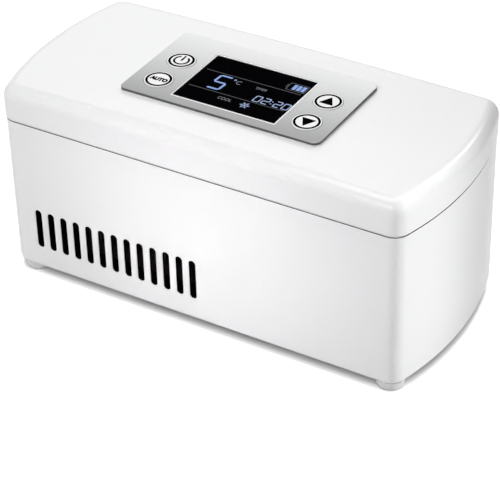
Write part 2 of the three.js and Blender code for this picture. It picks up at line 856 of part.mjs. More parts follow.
function batterySocket() {
  return block(
    socketLeft, socketLeft + socketLength,
    leadSide - plugWidth / 2 - socketWall, leadSide + plugWidth / 2 + socketWall,
    boardTop, boardTop + clearance + plugHeight + socketWall,
  );
}

function mainBoard() {
  return plate(batteryX, 0, boardLength, boardWidth, boardUnder, boardTop);
}

function powerInductor() {
  const [x, y] = inductorPlace;
  return roundedPlate(
    inductorSize, inductorSize, inductorRounding,
    boardTop, boardTop + inductorHeight, batteryX + x, y,
  );
}

function filterCapacitor() {
  const [x, y] = capacitorPlace;
  return upright(capacitorRadius, batteryX + x, y, boardTop, boardTop + capacitorHeight, 2 * smallSides);
}

function controlChip() {
  const [x, y] = chipPlace;
  return plate(batteryX + x, y, chipSize, chipSize, boardTop, boardTop + chipHeight);
}

// Power inlet: a flanged barrel with a socket and its centre pin
function powerInlet() {
  return rearTurned([
    [0, jackLength], [jackBarrelRadius, jackLength], [jackBarrelRadius, 0],
    [jackFlangeRadius, 0], [jackFlangeRadius, -jackFlange], [jackSocketRadius, -jackFlange],
    [jackSocketRadius, jackSocketDepth], [jackPinRadius, jackSocketDepth],
    [jackPinRadius, 0], [0, 0],
  ]);
}

function inletNut() {
  const inner = jackBarrelRadius + clearance;
  const near = housingWall;
  const far = housingWall + jackNutThickness;
  return rearTurned([
    [inner, far], [jackNutRadius, far], [jackNutRadius, near], [inner, near], [inner, far],
  ]);
}

function hingePin(x) {
  return hingeRod(pinRadius, x - hingeHalf, x + hingeHalf);
}

// Lid posts take the screws that hold the liner
const postX = halfLength - postEndInset;
const postY = halfWidth - postSideInset;
const lidScrewTop = linerTop + lidScrewGrip;

function lidShell() {
  const levels = [
    { z: lidBottom, inset: lidEdge },
    { z: lidBottom + lidEdge, inset: 0 },
  ];
  for (let i = 0; i <= filletSteps; i += 1) {
    const angle = (i / filletSteps) * (Math.PI / 2);
    const z = lidTop - lidFillet * (1 - Math.sin(angle));
    levels.push({ z, inset: lidFillet * (1 - Math.cos(angle)), crown: lidCrown });
  }
  const cavity = caseLoft([
    { z: lidBottom - overcut, inset: lidWall },
    { z: lidCeiling - lidInnerChamfer, inset: lidWall },
    { z: lidCeiling, inset: lidWall + lidInnerChamfer },
  ]);
  const posts = fourCorners(postX, postY).map(([x, y]) => (
    upright(postRadius, x, y, linerTop, lidCeiling + postRooting, 2 * smallSides)
  ));
  const bosses = fourCorners(displayBoardHalfLength - bossInset, displayBoardHalfWidth - bossInset)
    .map(([x, y]) => upright(bossRadius, x, y, displayBoardTop, lidCeiling + postRooting, smallSides));
  const seat = roundedPlate(
    panelLength + 2 * clearance, panelWidth + 2 * clearance, panelCorner + clearance,
    panelSeat, lidTop + overcut, 0, panelOffset,
  );
  const displayMouth = plate(
    0, windowOffset, windowLength - 2 * windowLand, windowWidth - 2 * windowLand,
    lidCeiling - overcut, lidTop + overcut,
  );
  const buttonMouths = buttonPlaces.map(({ x, y }) => (
    upright(buttonRadius + buttonFlange + clearance, x, y, lidCeiling - overcut, lidTop + overcut)
  ));
  const pilots = fourCorners(postX, postY).map(([x, y]) => (
    upright(screwShankRadius + clearance, x, y, linerTop - overcut, lidScrewTop + clearance, smallSides)
  ));
  const shell = joinAll([caseLoft(levels, crownSteps), ...lidKnuckles()]).subtract(cavity);
  return cutAll(joinAll([shell, ...posts, ...bosses]), [
    seat, displayMouth, ...buttonMouths, ...pilots, ...hingeBores(),
  ]);
}

// Names and places of the four buttons
const buttonPlaces = [
  { name: 'power', x: -buttonX, y: buttonRows[0] },
  { name: 'auto', x: -buttonX, y: buttonRows[1] },
  { name: 'up', x: buttonX, y: buttonRows[0] },
  { name: 'down', x: buttonX, y: buttonRows[1] },
];

// Panel plate with a bevel round its upper edge
function controlPanel() {
  const bevelled = new THREE.ExtrudeGeometry(roundedRectangle(panelLength, panelWidth, panelCorner), {
    depth: panelThickness, bevelEnabled: true, bevelThickness: panelBevel, bevelSize: panelBevel,
    bevelOffset: -panelBevel, bevelSegments: 1, curveSegments: 2,
  });
  bevelled.translate(0, panelOffset, panelSeat - panelBevel);
  const aboveSeat = plate(0, panelOffset, panelLength, panelWidth, panelSeat, panelTop + overcut);
  const mouth = plate(
    0, windowOffset, windowLength, windowWidth, panelSeat - overcut, panelTop + overcut,
  );
  const holes = buttonPlaces.map(({ x, y }) => (
    upright(buttonRadius + clearance, x, y, panelSeat - overcut, panelTop + overcut)
  ));
  return cutAll(toSolid(bevelled).intersect(aboveSeat), [mouth, ...holes]);
}

function displayWindow() {
  return plate(
    0, windowOffset, windowLength - 2 * clearance, windowWidth - 2 * clearance,
    panelSeat, panelTop - windowSink,
  );
}

function displayModule() {
  const margin = 2 * (windowLand + clearance);
  return plate(
    0, windowOffset, windowLength - margin, windowWidth - margin,
    displayBoardTop, panelSeat - clearance,
  );
}

function displayBoard() {
  return plate(
    0, 0, 2 * displayBoardHalfLength, 2 * displayBoardHalfWidth, displayBoardUnder, displayBoardTop,
  );
}

function tactSwitch(x, y) {
  const shoulder = displayBoardTop + switchBody;
  const body = plate(x, y, switchSize, switchSize, displayBoardTop, shoulder);
  return body.add(upright(switchPlungerRadius, x, y, displayBoardTop, switchTop, smallSides));
}

function button(x, y) {
  const flange = buttonRadius + buttonFlange;
  const top = panelTop + buttonProud;
  return turned([
    [0, buttonFlangeUnder], [flange, buttonFlangeUnder], [flange, buttonFlangeTop],
    [buttonRadius, buttonFlangeTop], [buttonRadius, top - buttonProud],
    [buttonRadius - buttonProud, top], [0, top],
  ], x, y);
}

// Liner under the lid, with a hollow plug that closes the chamber
const plugHalfLength = chamberLength / 2 - plugGap;
const plugHalfWidth = chamberWidth / 2 - plugGap;

function lidLiner() {
  const inset = lidWall + clearance;
  const sheet = caseLoft([{ z: lidBottom, inset }, { z: linerTop, inset }]);
  const plug = roundedPlate(
    2 * plugHalfLength, 2 * plugHalfWidth, chamberCorner, lidBottom - plugDrop, linerTop,
  );
  const hollow = plate(
    0, 0, 2 * (plugHalfLength - plugWall), 2 * (plugHalfWidth - plugWall),
    lidBottom - plugDrop + plugWall, linerTop + overcut,
  );
  const holes = fourCorners(postX, postY).map(([x, y]) => screwHole(x, y, lidBottom, linerTop + overcut));
  return cutAll(sheet.add(plug), [hollow, ...holes]);
}

function lidFoam() {
  const fit = plugWall + clearance;
  const filling = plate(
    0, 0, 2 * (plugHalfLength - fit), 2 * (plugHalfWidth - fit),
    lidBottom - plugDrop + fit, linerTop + fit,
  );
  const slab = plate(
    0, 0, 2 * (postX - postRadius - 2 * clearance), 2 * (postY + clearance),
    linerTop + clearance, displayBoardUnder - 2 * clearance,
  );
  return filling.add(slab);
}

function lidGasket() {
  const inner = chamberCorner + plugGap;
  const length = troughLength + clearance;
  const width = troughWidth + clearance;
  const ring = roundedPlate(
    length + 2 * gasketWidth, width + 2 * gasketWidth, inner + gasketWidth,
    chamberRim + clearance, lidBottom,
  );
  return ring.subtract(roundedPlate(length, width, inner, chamberRim, lidBottom + overcut));
}

// Finishes
const white = { color: 0xf4f5f6, roughness: 0.25, metalness: 0 };
const innerWhite = { color: 0xeceeee, roughness: 0.45, metalness: 0 };
const silver = { color: 0xcfd1d3, roughness: 0.35, metalness: 0.7 };
const alloy = { color: 0xc4c8cb, roughness: 0.4, metalness: 0.9 };
const steel = { color: 0xb9bcc0, roughness: 0.3, metalness: 1 };
const blackAlloy = { color: 0x1b1c1e, roughness: 0.5, metalness: 0.8 };
const black = { color: 0x17181a, roughness: 0.45, metalness: 0 };
const glass = { color: 0x05070a, roughness: 0.08, metalness: 0 };
const ceramic = { color: 0xe9e7e0, roughness: 0.6, metalness: 0 };
const foamGrey = { color: 0x5b5f63, roughness: 0.95, metalness: 0 };
const boardGreen = { color: 0x1f5a3a, roughness: 0.5, metalness: 0 };
const wrapBlue = { color: 0x2a6fc9, roughness: 0.4, metalness: 0 };
const rubber = { color: 0x9ea2a5, roughness: 0.8, metalness: 0 };

// The case stands so that its middle, hinge included, is over the origin
const coolingCase = new THREE.Group();
coolingCase.position.y = -rearReach / 2;

function addPart(name, solid, finish) {
  const mesh = new THREE.Mesh(toGeometry(solid), new THREE.MeshStandardMaterial(finish));
  mesh.name = name;
  coolingCase.add(mesh);
}

const cornerNames = ['front_left', 'front_right', 'rear_left', 'rear_right'];

addPart('lower_housing', lowerHousing(), white);
addPart('base_cover', baseCover(), white);
addPart('battery_door', batteryDoor(), white);
fourCorners(halfLength - footEndInset, halfWidth - footSideInset).forEach(([x, y], i) => {
  addPart(`foot_${cornerNames[i]}`, foot(x, y), white);
});
fourCorners(coverScrewX, coverScrewY).forEach(([x, y], i) => {
  addPart(`base_screw_${cornerNames[i]}`, screw(x, y, underside, coverScrewTop), steel);
});
doorScrewPlaces.forEach(([x, y], i) => {
  addPart(`door_screw_${['left', 'right'][i]}`, screw(x, y, underside, doorScrewTop), steel);
});
addPart('fan_frame', fanFrame(), black);
addPart('fan_rotor', fanRotor(), black);
fanScrewPlaces.forEach(([x, y], i) => {
  addPart(`fan_screw_${['front', 'rear'][i]}`, screw(x, y, underside, fanScrewTop), steel);
});
addPart('heat_sink', heatSink(), blackAlloy);
addPart('peltier_module', plate(sinkX, 0, moduleSize, moduleSize, sinkTop, moduleTop), ceramic);
addPart('cold_block', coldBlock(), alloy);
clampPlaces.forEach(([x, y], i) => {
  addPart(`clamp_screw_${['left', 'right'][i]}`, screw(x, y, clampHead, clampTop), steel);
});
addPart('cooling_chamber', coolingChamber(), alloy);
addPart('insulation_tub', insulationTub(), foamGrey);
addPart('chamber_deck', chamberDeck(), innerWhite);
addPart('battery_cradle', batteryCradle(), black);
addPart('battery_pack', batteryPack(), wrapBlue);
addPart('battery_lead', batteryLead(), black);
addPart('battery_plug', batteryPlug(), black);
addPart('battery_socket', batterySocket(), ceramic);
addPart('main_board', mainBoard(), boardGreen);
addPart('power_inductor', powerInductor(), black);
addPart('filter_capacitor', filterCapacitor(), alloy);
addPart('control_chip', controlChip(), black);
addPart('power_inlet', powerInlet(), black);
addPart('inlet_nut', inletNut(), steel);
hingeCentres.forEach((x, i) => {
  addPart(`hinge_pin_${['left', 'right'][i]}`, hingePin(x), steel);
});
addPart('lid_shell', lidShell(), white);
addPart('control_panel', controlPanel(), silver);
addPart('display_window', displayWindow(), glass);
addPart('display_module', displayModule(), black);
addPart('display_board', displayBoard(), boardGreen);
buttonPlaces.forEach(({ name, x, y }) => {
  addPart(`${name}_button`, button(x, y), white);
  addPart(`${name}_switch`, tactSwitch(x, y), black);
});
addPart('lid_liner', lidLiner(), innerWhite);
addPart('lid_foam', lidFoam(), foamGrey);
addPart('lid_gasket', lidGasket(), rubber);
fourCorners(postX, postY).forEach(([x, y], i) => {
  addPart(`lid_screw_${cornerNames[i]}`, screw(x, y, lidBottom, lidScrewTop), steel);
});

export default coolingCase;
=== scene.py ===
import math

import bmesh
import bpy
from mathutils import Matrix, Vector

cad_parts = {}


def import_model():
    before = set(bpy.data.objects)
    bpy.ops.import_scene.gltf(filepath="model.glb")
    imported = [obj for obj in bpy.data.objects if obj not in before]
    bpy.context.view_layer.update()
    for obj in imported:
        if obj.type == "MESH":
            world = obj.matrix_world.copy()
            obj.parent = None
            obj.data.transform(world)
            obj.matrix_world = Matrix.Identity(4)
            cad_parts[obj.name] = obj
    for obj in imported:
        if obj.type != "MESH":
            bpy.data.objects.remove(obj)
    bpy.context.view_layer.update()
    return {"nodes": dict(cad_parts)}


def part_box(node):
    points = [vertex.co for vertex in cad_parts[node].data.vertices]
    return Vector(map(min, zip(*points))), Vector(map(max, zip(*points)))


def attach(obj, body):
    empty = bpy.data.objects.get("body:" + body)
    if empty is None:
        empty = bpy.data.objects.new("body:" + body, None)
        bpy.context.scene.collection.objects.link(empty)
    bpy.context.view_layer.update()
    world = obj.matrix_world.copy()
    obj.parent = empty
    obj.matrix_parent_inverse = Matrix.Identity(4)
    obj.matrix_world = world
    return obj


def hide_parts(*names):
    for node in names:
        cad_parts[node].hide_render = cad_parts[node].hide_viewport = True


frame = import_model()

# Lengths are in millimetres in the case's own frame: x along it, y from its middle towards the hinge
MM = 0.001


def span(node):
    """Low and high corner of a solid, in millimetres."""
    low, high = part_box(node)
    return Vector(low) / MM, Vector(high) / MM


def plan_size(node):
    """Length and width of a solid."""
    low, high = span(node)
    return [high.x - low.x, high.y - low.y]


def grown(sides, gap):
    """Length and width with a gap added on every side."""
    return [side + 2 * gap for side in sides]


def heights(node):
    """Lowest and highest level of a solid."""
    low, high = span(node)
    return low.z, high.z


def middle(node):
    """Middle of a solid in the solids' own frame."""
    low, high = span(node)
    return (low + high) / 2


lid_low, lid_high = span("lid_shell")
CENTRE_Y = middle("cooling_chamber").y
HALF_LENGTH = lid_high.x
HALF_WIDTH = CENTRE_Y - lid_low.y


def place_of(node):
    """Plan place of a solid's middle in the case's own frame."""
    return (middle(node).x, middle(node).y - CENTRE_Y)


def world(point):
    """Place in the solids' frame, in metres, of a point in the case's own frame."""
    x, y, z = point
    return Vector((x, y + CENTRE_Y, z)) * MM


# Plan of the case
END_BULGE = 8.5
CORNER_RADIUS = 8
END_RADIUS = (HALF_WIDTH ** 2 + END_BULGE ** 2) / (2 * END_BULGE)
END_CENTRE_X = HALF_LENGTH - END_RADIUS
CORNER_Y = HALF_WIDTH - CORNER_RADIUS
CORNER_X = END_CENTRE_X + math.sqrt((END_RADIUS - CORNER_RADIUS) ** 2 - CORNER_Y ** 2)
CORNER_STEPS = 10
END_STEPS = 16
CROWN_STEPS = 20

# Levels
HOUSING_FLOOR = 5
DECK_SINK = 2
LINER_SHEET = 2
PANEL_SINK = 1
LID_ROOF = 3
UNDERSIDE, COVER_TOP = heights("base_cover")
FLOOR_TOP = UNDERSIDE + HOUSING_FLOOR
DECK_UNDER, DECK_TOP = heights("chamber_deck")
HOUSING_TOP = DECK_TOP + DECK_SINK
LID_BOTTOM = heights("lid_screw_front_left")[0]
LINER_TOP = LID_BOTTOM + LINER_SHEET
PANEL_SEAT, PANEL_TOP = heights("control_panel")
LID_TOP = PANEL_SEAT + PANEL_SINK
LID_CEILING = LID_TOP - LID_ROOF
GLASS_TOP = heights("display_window")[1]

# Shells
CLEARANCE = 0.3
OVERCUT = 1
LID_OVERHANG = 0.3
HOUSING_SIDE = HALF_WIDTH - LID_OVERHANG
HOUSING_WALL = 3
RIM_WALL = 1.8
LID_WALL = 3
LID_INNER_CHAMFER = 4
BOTTOM_FILLET = 3
RIM_ROUNDING = 0.4
LID_FILLET = 6.5
LID_CROWN = 1.45
LID_RIM = 1
FILLET_STEPS = 10

# Hinge
HINGE_PLACES = [middle(f"hinge_pin_{side}").x for side in ("left", "right")]
HINGE_Y = place_of("hinge_pin_left")[1]
HINGE_Z = middle("hinge_pin_left").z
HINGE_HALF = plan_size("hinge_pin_left")[0] / 2
pin_low, pin_high = heights("hinge_pin_left")
PIN_RADIUS = (pin_high - pin_low) / 2
KNUCKLE_RADIUS = 3
KNUCKLE_REACH = 9
KNUCKLE_MIDDLE = 15
KNUCKLE_SOFTNESS = 0.3
KNUCKLE_STEPS = 36

# Vents
SLOT_COUNT = 13
SLOT_PITCH = 7.07
SLOT_WIDTH = 3.5
SLOT_HEIGHT = 20.85
SLOT_RISE = 12.3
SLOT_SOFTNESS = 0.35
SLOT_Z = UNDERSIDE + SLOT_RISE + SLOT_HEIGHT / 2
VENT_WALL = 1.5
VENT_MARGIN = 4
VENT_CORNER = 2
VENT_X = middle("heat_sink").x

# Panel, display and buttons
PANEL_Y = place_of("control_panel")[1]
PANEL_CORNER = 3.5
PANEL_CHAMFER = 0.22
CHAMFER_SIDE = 0.08
CHAMFER_BLEND = 0.03
PANEL_GAP = 0.15
HOLE_EDGE = 0.12
PLATE_THICKNESS = 1.3
PLINTH_INSET = 0.1
STEEP_NORMAL = 0.5
WINDOW_FRAME = 0.75
WINDOW_GAP = 0.05
MOUTH_CORNER = 0.6
FRAME_CORNER = 0.5
FRAME_EDGE = 0.15
GLASS_CORNER = 0.2
GLASS_EDGE = 0.1
BUTTON_RADIUS = 6.75
BUTTON_HOLE = 6.9
BUTTON_EDGE = 0.2
BUTTON_FLANGE = 0.7
BUTTON_FLANGE_HEIGHT = 1.2
BUTTON_MOUTH = BUTTON_RADIUS + BUTTON_FLANGE + CLEARANCE
PRINT_HEIGHT = 0.03
KEYS = ("power", "auto", "up", "down")

# Corners where feet and screws sit
CORNERS = ("front_left", "front_right", "rear_left", "rear_right")

# Least bend or flat of an outline, and the distance under which points are welded
LEAST = 0.02
WELD = 0.0005


# Outlines: circle, rectangle and case_plan give their points, anticlockwise, for an inset
def arc(x, y, radius, first, last, steps):
    """Points along an arc between two angles."""
    turns = [first + (last - first) * i / steps for i in range(steps + 1)]
    return [(x + radius * math.cos(turn), y + radius * math.sin(turn)) for turn in turns]


def circle(x, y, radius, count=48):
    def points(inset):
        return arc(x, y, radius - inset, 0, 2 * math.pi, count)[:-1]

    return points


def rectangle(length, width, radius, x=0.0, y=0.0, steps=6):
    def points(inset):
        bend = max(radius - inset, LEAST)
        across = length / 2 - inset - bend
        along = width / 2 - inset - bend
        result = []
        for quarter, (side, rise) in enumerate(((1, -1), (1, 1), (-1, 1), (-1, -1))):
            first = math.pi / 2 * (quarter - 1)
            result += arc(x + side * across, y + rise * along, bend, first, first + math.pi / 2, steps)
        return result

    return points


def case_front(inset):
    """Front half of the plan, from its left tip to its right tip."""
    tangent = math.atan2(-CORNER_Y, CORNER_X - END_CENTRE_X)
    right = arc(CORNER_X, -CORNER_Y, CORNER_RADIUS - inset, -math.pi / 2, tangent, CORNER_STEPS)
    right += arc(END_CENTRE_X, 0, END_RADIUS - inset, tangent, 0, END_STEPS)[1:]
    left = [(-x, y) for x, y in reversed(right)]
    start, depth = right[0]
    straight = [(start * (2 * i / CROWN_STEPS - 1), depth) for i in range(1, CROWN_STEPS)]
    return left + straight + right


def case_plan(base):
    def points(inset):
        front = case_front(base + inset)
        return front + [(x, -y) for x, y in reversed(front[1:-1])]

    return points


# Levels: pairs of an inset and a height, from the bottom up
def rounded(z0, z1, low=0.0, high=0.0, steps=5):
    bends = arc(0, 0, 1, 0, math.pi / 2, steps)
    lower = [(low * (1 - rise), z0 + low * (1 - run)) for run, rise in bends] if low else [(0.0, z0)]
    upper = [(high * (1 - run), z1 - high * (1 - rise)) for run, rise in bends] if high else [(0.0, z1)]
    return lower + upper


def mouth(z0, z1, low=0.0, high=0.0, steps=4):
    """Levels of a cutter whose hole has rounded rims at its two faces."""
    inner = [(-inset, z) for inset, z in rounded(z0, z1, low, high, steps)]
    return [(-low, z0 - OVERCUT), *inner, (-high, z1 + OVERCUT)]


def stack(outline, levels):
    return [[(x, y, z) for x, y in outline(inset)] for inset, z in levels]


# Solids
def add(name, data):
    """Puts a new object into the scene."""
    item = bpy.data.objects.new(name, data)
    bpy.context.scene.collection.objects.link(item)
    return item


def new_piece(name, vertices, faces):
    mesh = bpy.data.meshes.new(name)
    mesh.from_pydata([world(vertex) for vertex in vertices], [], faces)
    shape = bmesh.new()
    shape.from_mesh(mesh)
    bmesh.ops.recalc_face_normals(shape, faces=shape.faces)
    shape.to_mesh(mesh)
    shape.free()
    return add(name, mesh)


def loft_faces(rings, first, closed=False, strip=False):
    """Faces through rings of equally many points, whose numbers start at first."""
    count = len(rings[0])
    last = len(rings) - 1
    faces = []
    for level in range(len(rings) if closed else last):
        low = first + level * count
        high = first + (level + 1) % len(rings) * count
        for i in range(count):
            j = (i + 1) % count
            faces.append((low + i, low + j, high + j, high + i))
    if closed:
        return faces
    for end in (first, first + last * count):
        if strip:
            half = count // 2
            faces.append((end, end + 1, end + count - 1))
            faces.append((end + half - 1, end + half, end + half + 1))
            for i in range(1, half - 1):
                faces.append((end + i, end + i + 1, end + count - i - 1, end + count - i))
        else:
            faces.append(tuple(range(end, end + count)))
    return faces


def solids(name, lofts, turn=None, closed=False, strip=False):
    """One piece from several lofts, each a list of rings; turn maps a loft's point to the case frame."""
    vertices = []
    faces = []
    for rings in lofts:
        faces += loft_faces(rings, len(vertices), closed, strip)
        points = [point for ring in rings for point in ring]
        vertices += [turn(point) for point in points] if turn else points
    return new_piece(name, vertices, faces)


def solid(name, outline, levels, **options):
    return solids(name, [stack(outline, levels)], **options)


def along_y(point):
    x, z, depth = point
    return (x, depth, z)


def along_x(point):
    y, z, depth = point
    return (depth, y, z)


def final_mesh(item):
    """Mesh of an object as its modifiers or its lettering leave it."""
    bpy.context.view_layer.update()
    return bpy.data.meshes.new_from_object(item.evaluated_get(bpy.context.evaluated_depsgraph_get()))


def settle(piece):
    """Takes a piece's modifiers into its mesh."""
    mesh = final_mesh(piece)
    piece.modifiers.clear()
    piece.data = mesh
    return piece


def combine(piece, other, operation):
    step = piece.modifiers.new(operation.lower(), "BOOLEAN")
    step.operation = operation
    step.solver = "EXACT"
    step.object = other
    settle(piece)
    bpy.data.objects.remove(other)
    return piece


def carve(piece, *cutters):
    for cutter in cutters:
        combine(piece, cutter, "DIFFERENCE")
    return piece


def soften(piece, width, segments=2, angle=40):
    bevel = piece.modifiers.new("soft edges", "BEVEL")
    bevel.width = width * MM
    bevel.segments = segments
    bevel.limit_method = "ANGLE"
    bevel.angle_limit = math.radians(angle)
    return settle(piece)


def smooth(piece, angle=32):
    """Round faces shade smoothly; edges steeper than the angle stay crisp."""
    shape = bmesh.new()
    shape.from_mesh(piece.data)
    bmesh.ops.remove_doubles(shape, verts=shape.verts, dist=WELD * MM)
    bmesh.ops.dissolve_degenerate(shape, edges=shape.edges, dist=WELD * MM)
    shape.to_mesh(piece.data)
    shape.free()
    piece.data.shade_smooth()
    piece.data.set_sharp_from_angle(angle=math.radians(angle))
    normals = piece.modifiers.new("even shading", "WEIGHTED_NORMAL")
    normals.keep_sharp = True
    return piece


def flat(name, outlines, z):
    """Thin marks: each outline is a list of plan points."""
    levels = (z, z + PRINT_HEIGHT)
    return solids(name, [[[(x, y, level) for x, y in outline] for level in levels] for outline in outlines])


# Materials
NOISE_LOW = 0.3
NOISE_HIGH = 0.7


def fill(node, values):
    """Sets a node's inputs by their names."""
    for name, value in values.items():
        node.inputs[name].default_value = value


def feed(material, value, name):
    """Lets a node's output set one input of the material's shader."""
    tree = material.node_tree
    tree.links.new(value, tree.nodes["Principled BSDF"].inputs[name])


def spread(owner, value, ends):
    """Maps a value onto another range, in the nodes of a material or of the world."""
    tree = owner.node_tree
    node = tree.nodes.new("ShaderNodeMapRange")
    fill(node, ends)
    tree.links.new(value, node.inputs["Value"])
    return node.outputs["Result"]


def plain(name, color, roughness, metallic=0.0, specular=0.5):
    material = bpy.data.materials.new(name)
    material.use_nodes = True
    fill(material.node_tree.nodes["Principled BSDF"], {
        "Base Color": (*color, 1.0),
        "Roughness": roughness,
        "Metallic": metallic,
        "Specular IOR Level": specular,
    })
    return material


def glow(name, color, strength):
    material = plain(name, (0.01, 0.01, 0.012), 0.4, specular=0.1)
    fill(material.node_tree.nodes["Principled BSDF"], {
        "Emission Color": (*color, 1.0),
        "Emission Strength": strength,
    })
    return material


def noise(material, period, detail=3.0, stretch=(1, 1, 1)):
    """Noise over the object, with its period in millimetres."""
    tree = material.node_tree
    place = tree.nodes.new("ShaderNodeTexCoord")
    scale = tree.nodes.new("ShaderNodeMapping")
    fill(scale, {"Scale": stretch})
    texture = tree.nodes.new("ShaderNodeTexNoise")
    fill(texture, {"Scale": 1 / (period * MM), "Detail": detail})
    tree.links.new(place.outputs["Object"], scale.inputs["Vector"])
    tree.links.new(scale.outputs["Vector"], texture.inputs["Vector"])
    return texture.outputs["Fac"]


def vary(material, low, high, **texture):
    """A roughness that wanders between low and high with noise."""
    feed(material, spread(material, noise(material, **texture), {
        "From Min": NOISE_LOW, "From Max": NOISE_HIGH, "To Min": low, "To Max": high,
    }), "Roughness")


def blend(material, value, near, far, start=0.0, end=1.0):
    """A base colour that runs from near to far while a value runs from start to end."""
    tree = material.node_tree
    ramp = tree.nodes.new("ShaderNodeValToRGB")
    for element, position, color in zip(ramp.color_ramp.elements, (start, end), (near, far)):
        element.position = position
        element.color = (*color, 1.0)
    tree.links.new(value, ramp.inputs["Fac"])
    feed(material, ramp.outputs["Color"], "Base Color")


def fade(material, start, end, near, far):
    """A base colour that runs evenly from near to far between two places along y."""
    tree = material.node_tree
    place = tree.nodes.new("ShaderNodeTexCoord")
    parts = tree.nodes.new("ShaderNodeSeparateXYZ")
    tree.links.new(place.outputs["Object"], parts.inputs["Vector"])
    run = spread(material, parts.outputs["Y"], {
        "From Min": world((0, start, 0)).y, "From Max": world((0, end, 0)).y,
    })
    blend(material, run, near, far)


def grain(material, height, strength, **texture):
    """Fine relief from noise, with its height in millimetres."""
    tree = material.node_tree
    value = noise(material, **texture)
    bump = tree.nodes.new("ShaderNodeBump")
    fill(bump, {"Strength": strength, "Distance": height * MM})
    tree.links.new(value, bump.inputs["Height"])
    feed(material, bump.outputs["Normal"], "Normal")


gloss_white = plain("gloss white", (0.86, 0.862, 0.866), 0.16)
vary(gloss_white, 0.13, 0.19, period=22)
grain(gloss_white, 0.01, 0.2, period=3.5, detail=1.0)

# Glossy pads whose grey is darker than the case's white: painted shade for their darker reflections.
foot_gloss_shaded = plain("foot gloss shaded", (0.72, 0.722, 0.726), 0.1)
vary(foot_gloss_shaded, 0.08, 0.13, period=6)

inner_white = plain("inner white", (0.8, 0.805, 0.81), 0.42)
vary(inner_white, 0.36, 0.48, period=9)
grain(inner_white, 0.02, 0.3, period=0.6, detail=1.0)

panel_silver = plain("panel silver", (0.43, 0.433, 0.436), 0.36, metallic=0.8)
vary(panel_silver, 0.32, 0.42, period=0.5, detail=1.0)
# The silver runs from darker at the front to lighter at the back: a painted reflection.
fade(panel_silver, start=-27, end=28, near=(0.26, 0.262, 0.265), far=(0.545, 0.548, 0.55))

# Near-black colour for the plate's steep walls: painted shade.
panel_edge_shade = plain("panel edge shade", (0.08, 0.08, 0.081), 0.5, specular=0.2)
vary(panel_edge_shade, 0.45, 0.55, period=0.5, detail=1.0)

alloy = plain("alloy", (0.58, 0.59, 0.6), 0.34, metallic=1.0)
vary(alloy, 0.26, 0.44, period=1.2, detail=2.0, stretch=(0.04, 1, 1))
grain(alloy, 0.02, 0.25, period=0.5, detail=1.0, stretch=(0.03, 1, 1))

black_alloy = plain("black anodised alloy", (0.01, 0.01, 0.011), 0.5, metallic=0.4)
vary(black_alloy, 0.45, 0.58, period=2)

steel = plain("steel", (0.55, 0.56, 0.57), 0.28, metallic=1.0)
vary(steel, 0.22, 0.36, period=1.5)

black_plastic = plain("black plastic", (0.012, 0.012, 0.013), 0.45)
vary(black_plastic, 0.4, 0.52, period=4)

display_glass = plain("display glass", (0.0015, 0.0015, 0.002), 0.08, specular=0.0)
vary(display_glass, 0.07, 0.1, period=12)

ceramic = plain("ceramic", (0.78, 0.77, 0.73), 0.6)
grain(ceramic, 0.02, 0.4, period=0.8)

foam = plain("foam", (0.09, 0.095, 0.1), 0.95)
grain(foam, 0.25, 0.6, period=0.9, detail=2.0)

board_green = plain("board green", (0.012, 0.09, 0.04), 0.4)
blend(
    board_green, noise(board_green, period=5),
    (0.01, 0.075, 0.034), (0.014, 0.1, 0.046), NOISE_LOW, NOISE_HIGH,
)

wrap_blue = plain("blue wrap", (0.02, 0.14, 0.5), 0.32)
grain(wrap_blue, 0.4, 0.35, period=14, detail=2.0)

seal_rubber = plain("seal rubber", (0.33, 0.34, 0.35), 0.75)
grain(seal_rubber, 0.02, 0.4, period=0.7)

inner_shade = plain("inner shade", (0.004, 0.004, 0.004), 1.0, specular=0.0)
vary(inner_shade, 0.9, 1.0, period=5)

print_black = plain("black print", (0.0015, 0.0015, 0.0015), 0.6, specular=0.0)
vary(print_black, 0.55, 0.65, period=2)

FINISHES = {
    "white_gloss": gloss_white,
    "inner_white": inner_white,
    "panel_silver": panel_silver,
    "alloy": alloy,
    "black_alloy": black_alloy,
    "steel": steel,
    "black_plastic": black_plastic,
    "display_glass": display_glass,
    "ceramic": ceramic,
    "foam": foam,
    "board_green": board_green,
    "wrap_blue": wrap_blue,
    "seal_rubber": seal_rubber,
}

# Faces in the dark: how deep the housing's inside and the slots' walls begin, and the seam's strip
INSIDE_DEPTH = 2.5
SLOT_DEPTH = 0.9
SEAM_SHADE = 0.2
LEVEL_NORMAL = 0.99


def dress(piece, body, slot, *nodes, material=None):
    """Gives a piece its finish and its body, and hides the solids it stands for."""
    piece.data.materials.clear()
    piece.data.materials.append(material or FINISHES[slot])
    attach(piece, body)
    if nodes:
        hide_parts(*nodes)
    return piece


def shade(piece, wanted):
    """Darkens the faces of a piece that a test of their middle and their direction picks."""
    if inner_shade.name not in piece.data.materials:
        piece.data.materials.append(inner_shade)
    for face in piece.data.polygons:
        if wanted(face.center / MM - Vector((0, CENTRE_Y, 0)), face.normal):
            face.material_index = piece.data.materials.find(inner_shade.name)


def shade_inside(piece, lowest, highest):
    """Darkens a shell's faces that only its inside or a vent sees, between two levels."""
    def inside(point, normal):
        by_vents = abs(point.x - VENT_X) < SLOT_COUNT * SLOT_PITCH / 2
        within_sides = abs(point.y) < HALF_WIDTH - (SLOT_DEPTH if by_vents else INSIDE_DEPTH)
        within_ends = math.hypot(abs(point.x) - END_CENTRE_X, point.y) < END_RADIUS - INSIDE_DEPTH
        return within_sides and within_ends and lowest < point.z < highest
    shade(piece, inside)


def shade_seam(piece, level):
    """Darkens the part of a rim's rounding that lies in the seam between housing and lid."""
    def in_seam(point, normal):
        return abs(point.z - level) < SEAM_SHADE and abs(normal.z) < LEVEL_NORMAL
    shade(piece, in_seam)


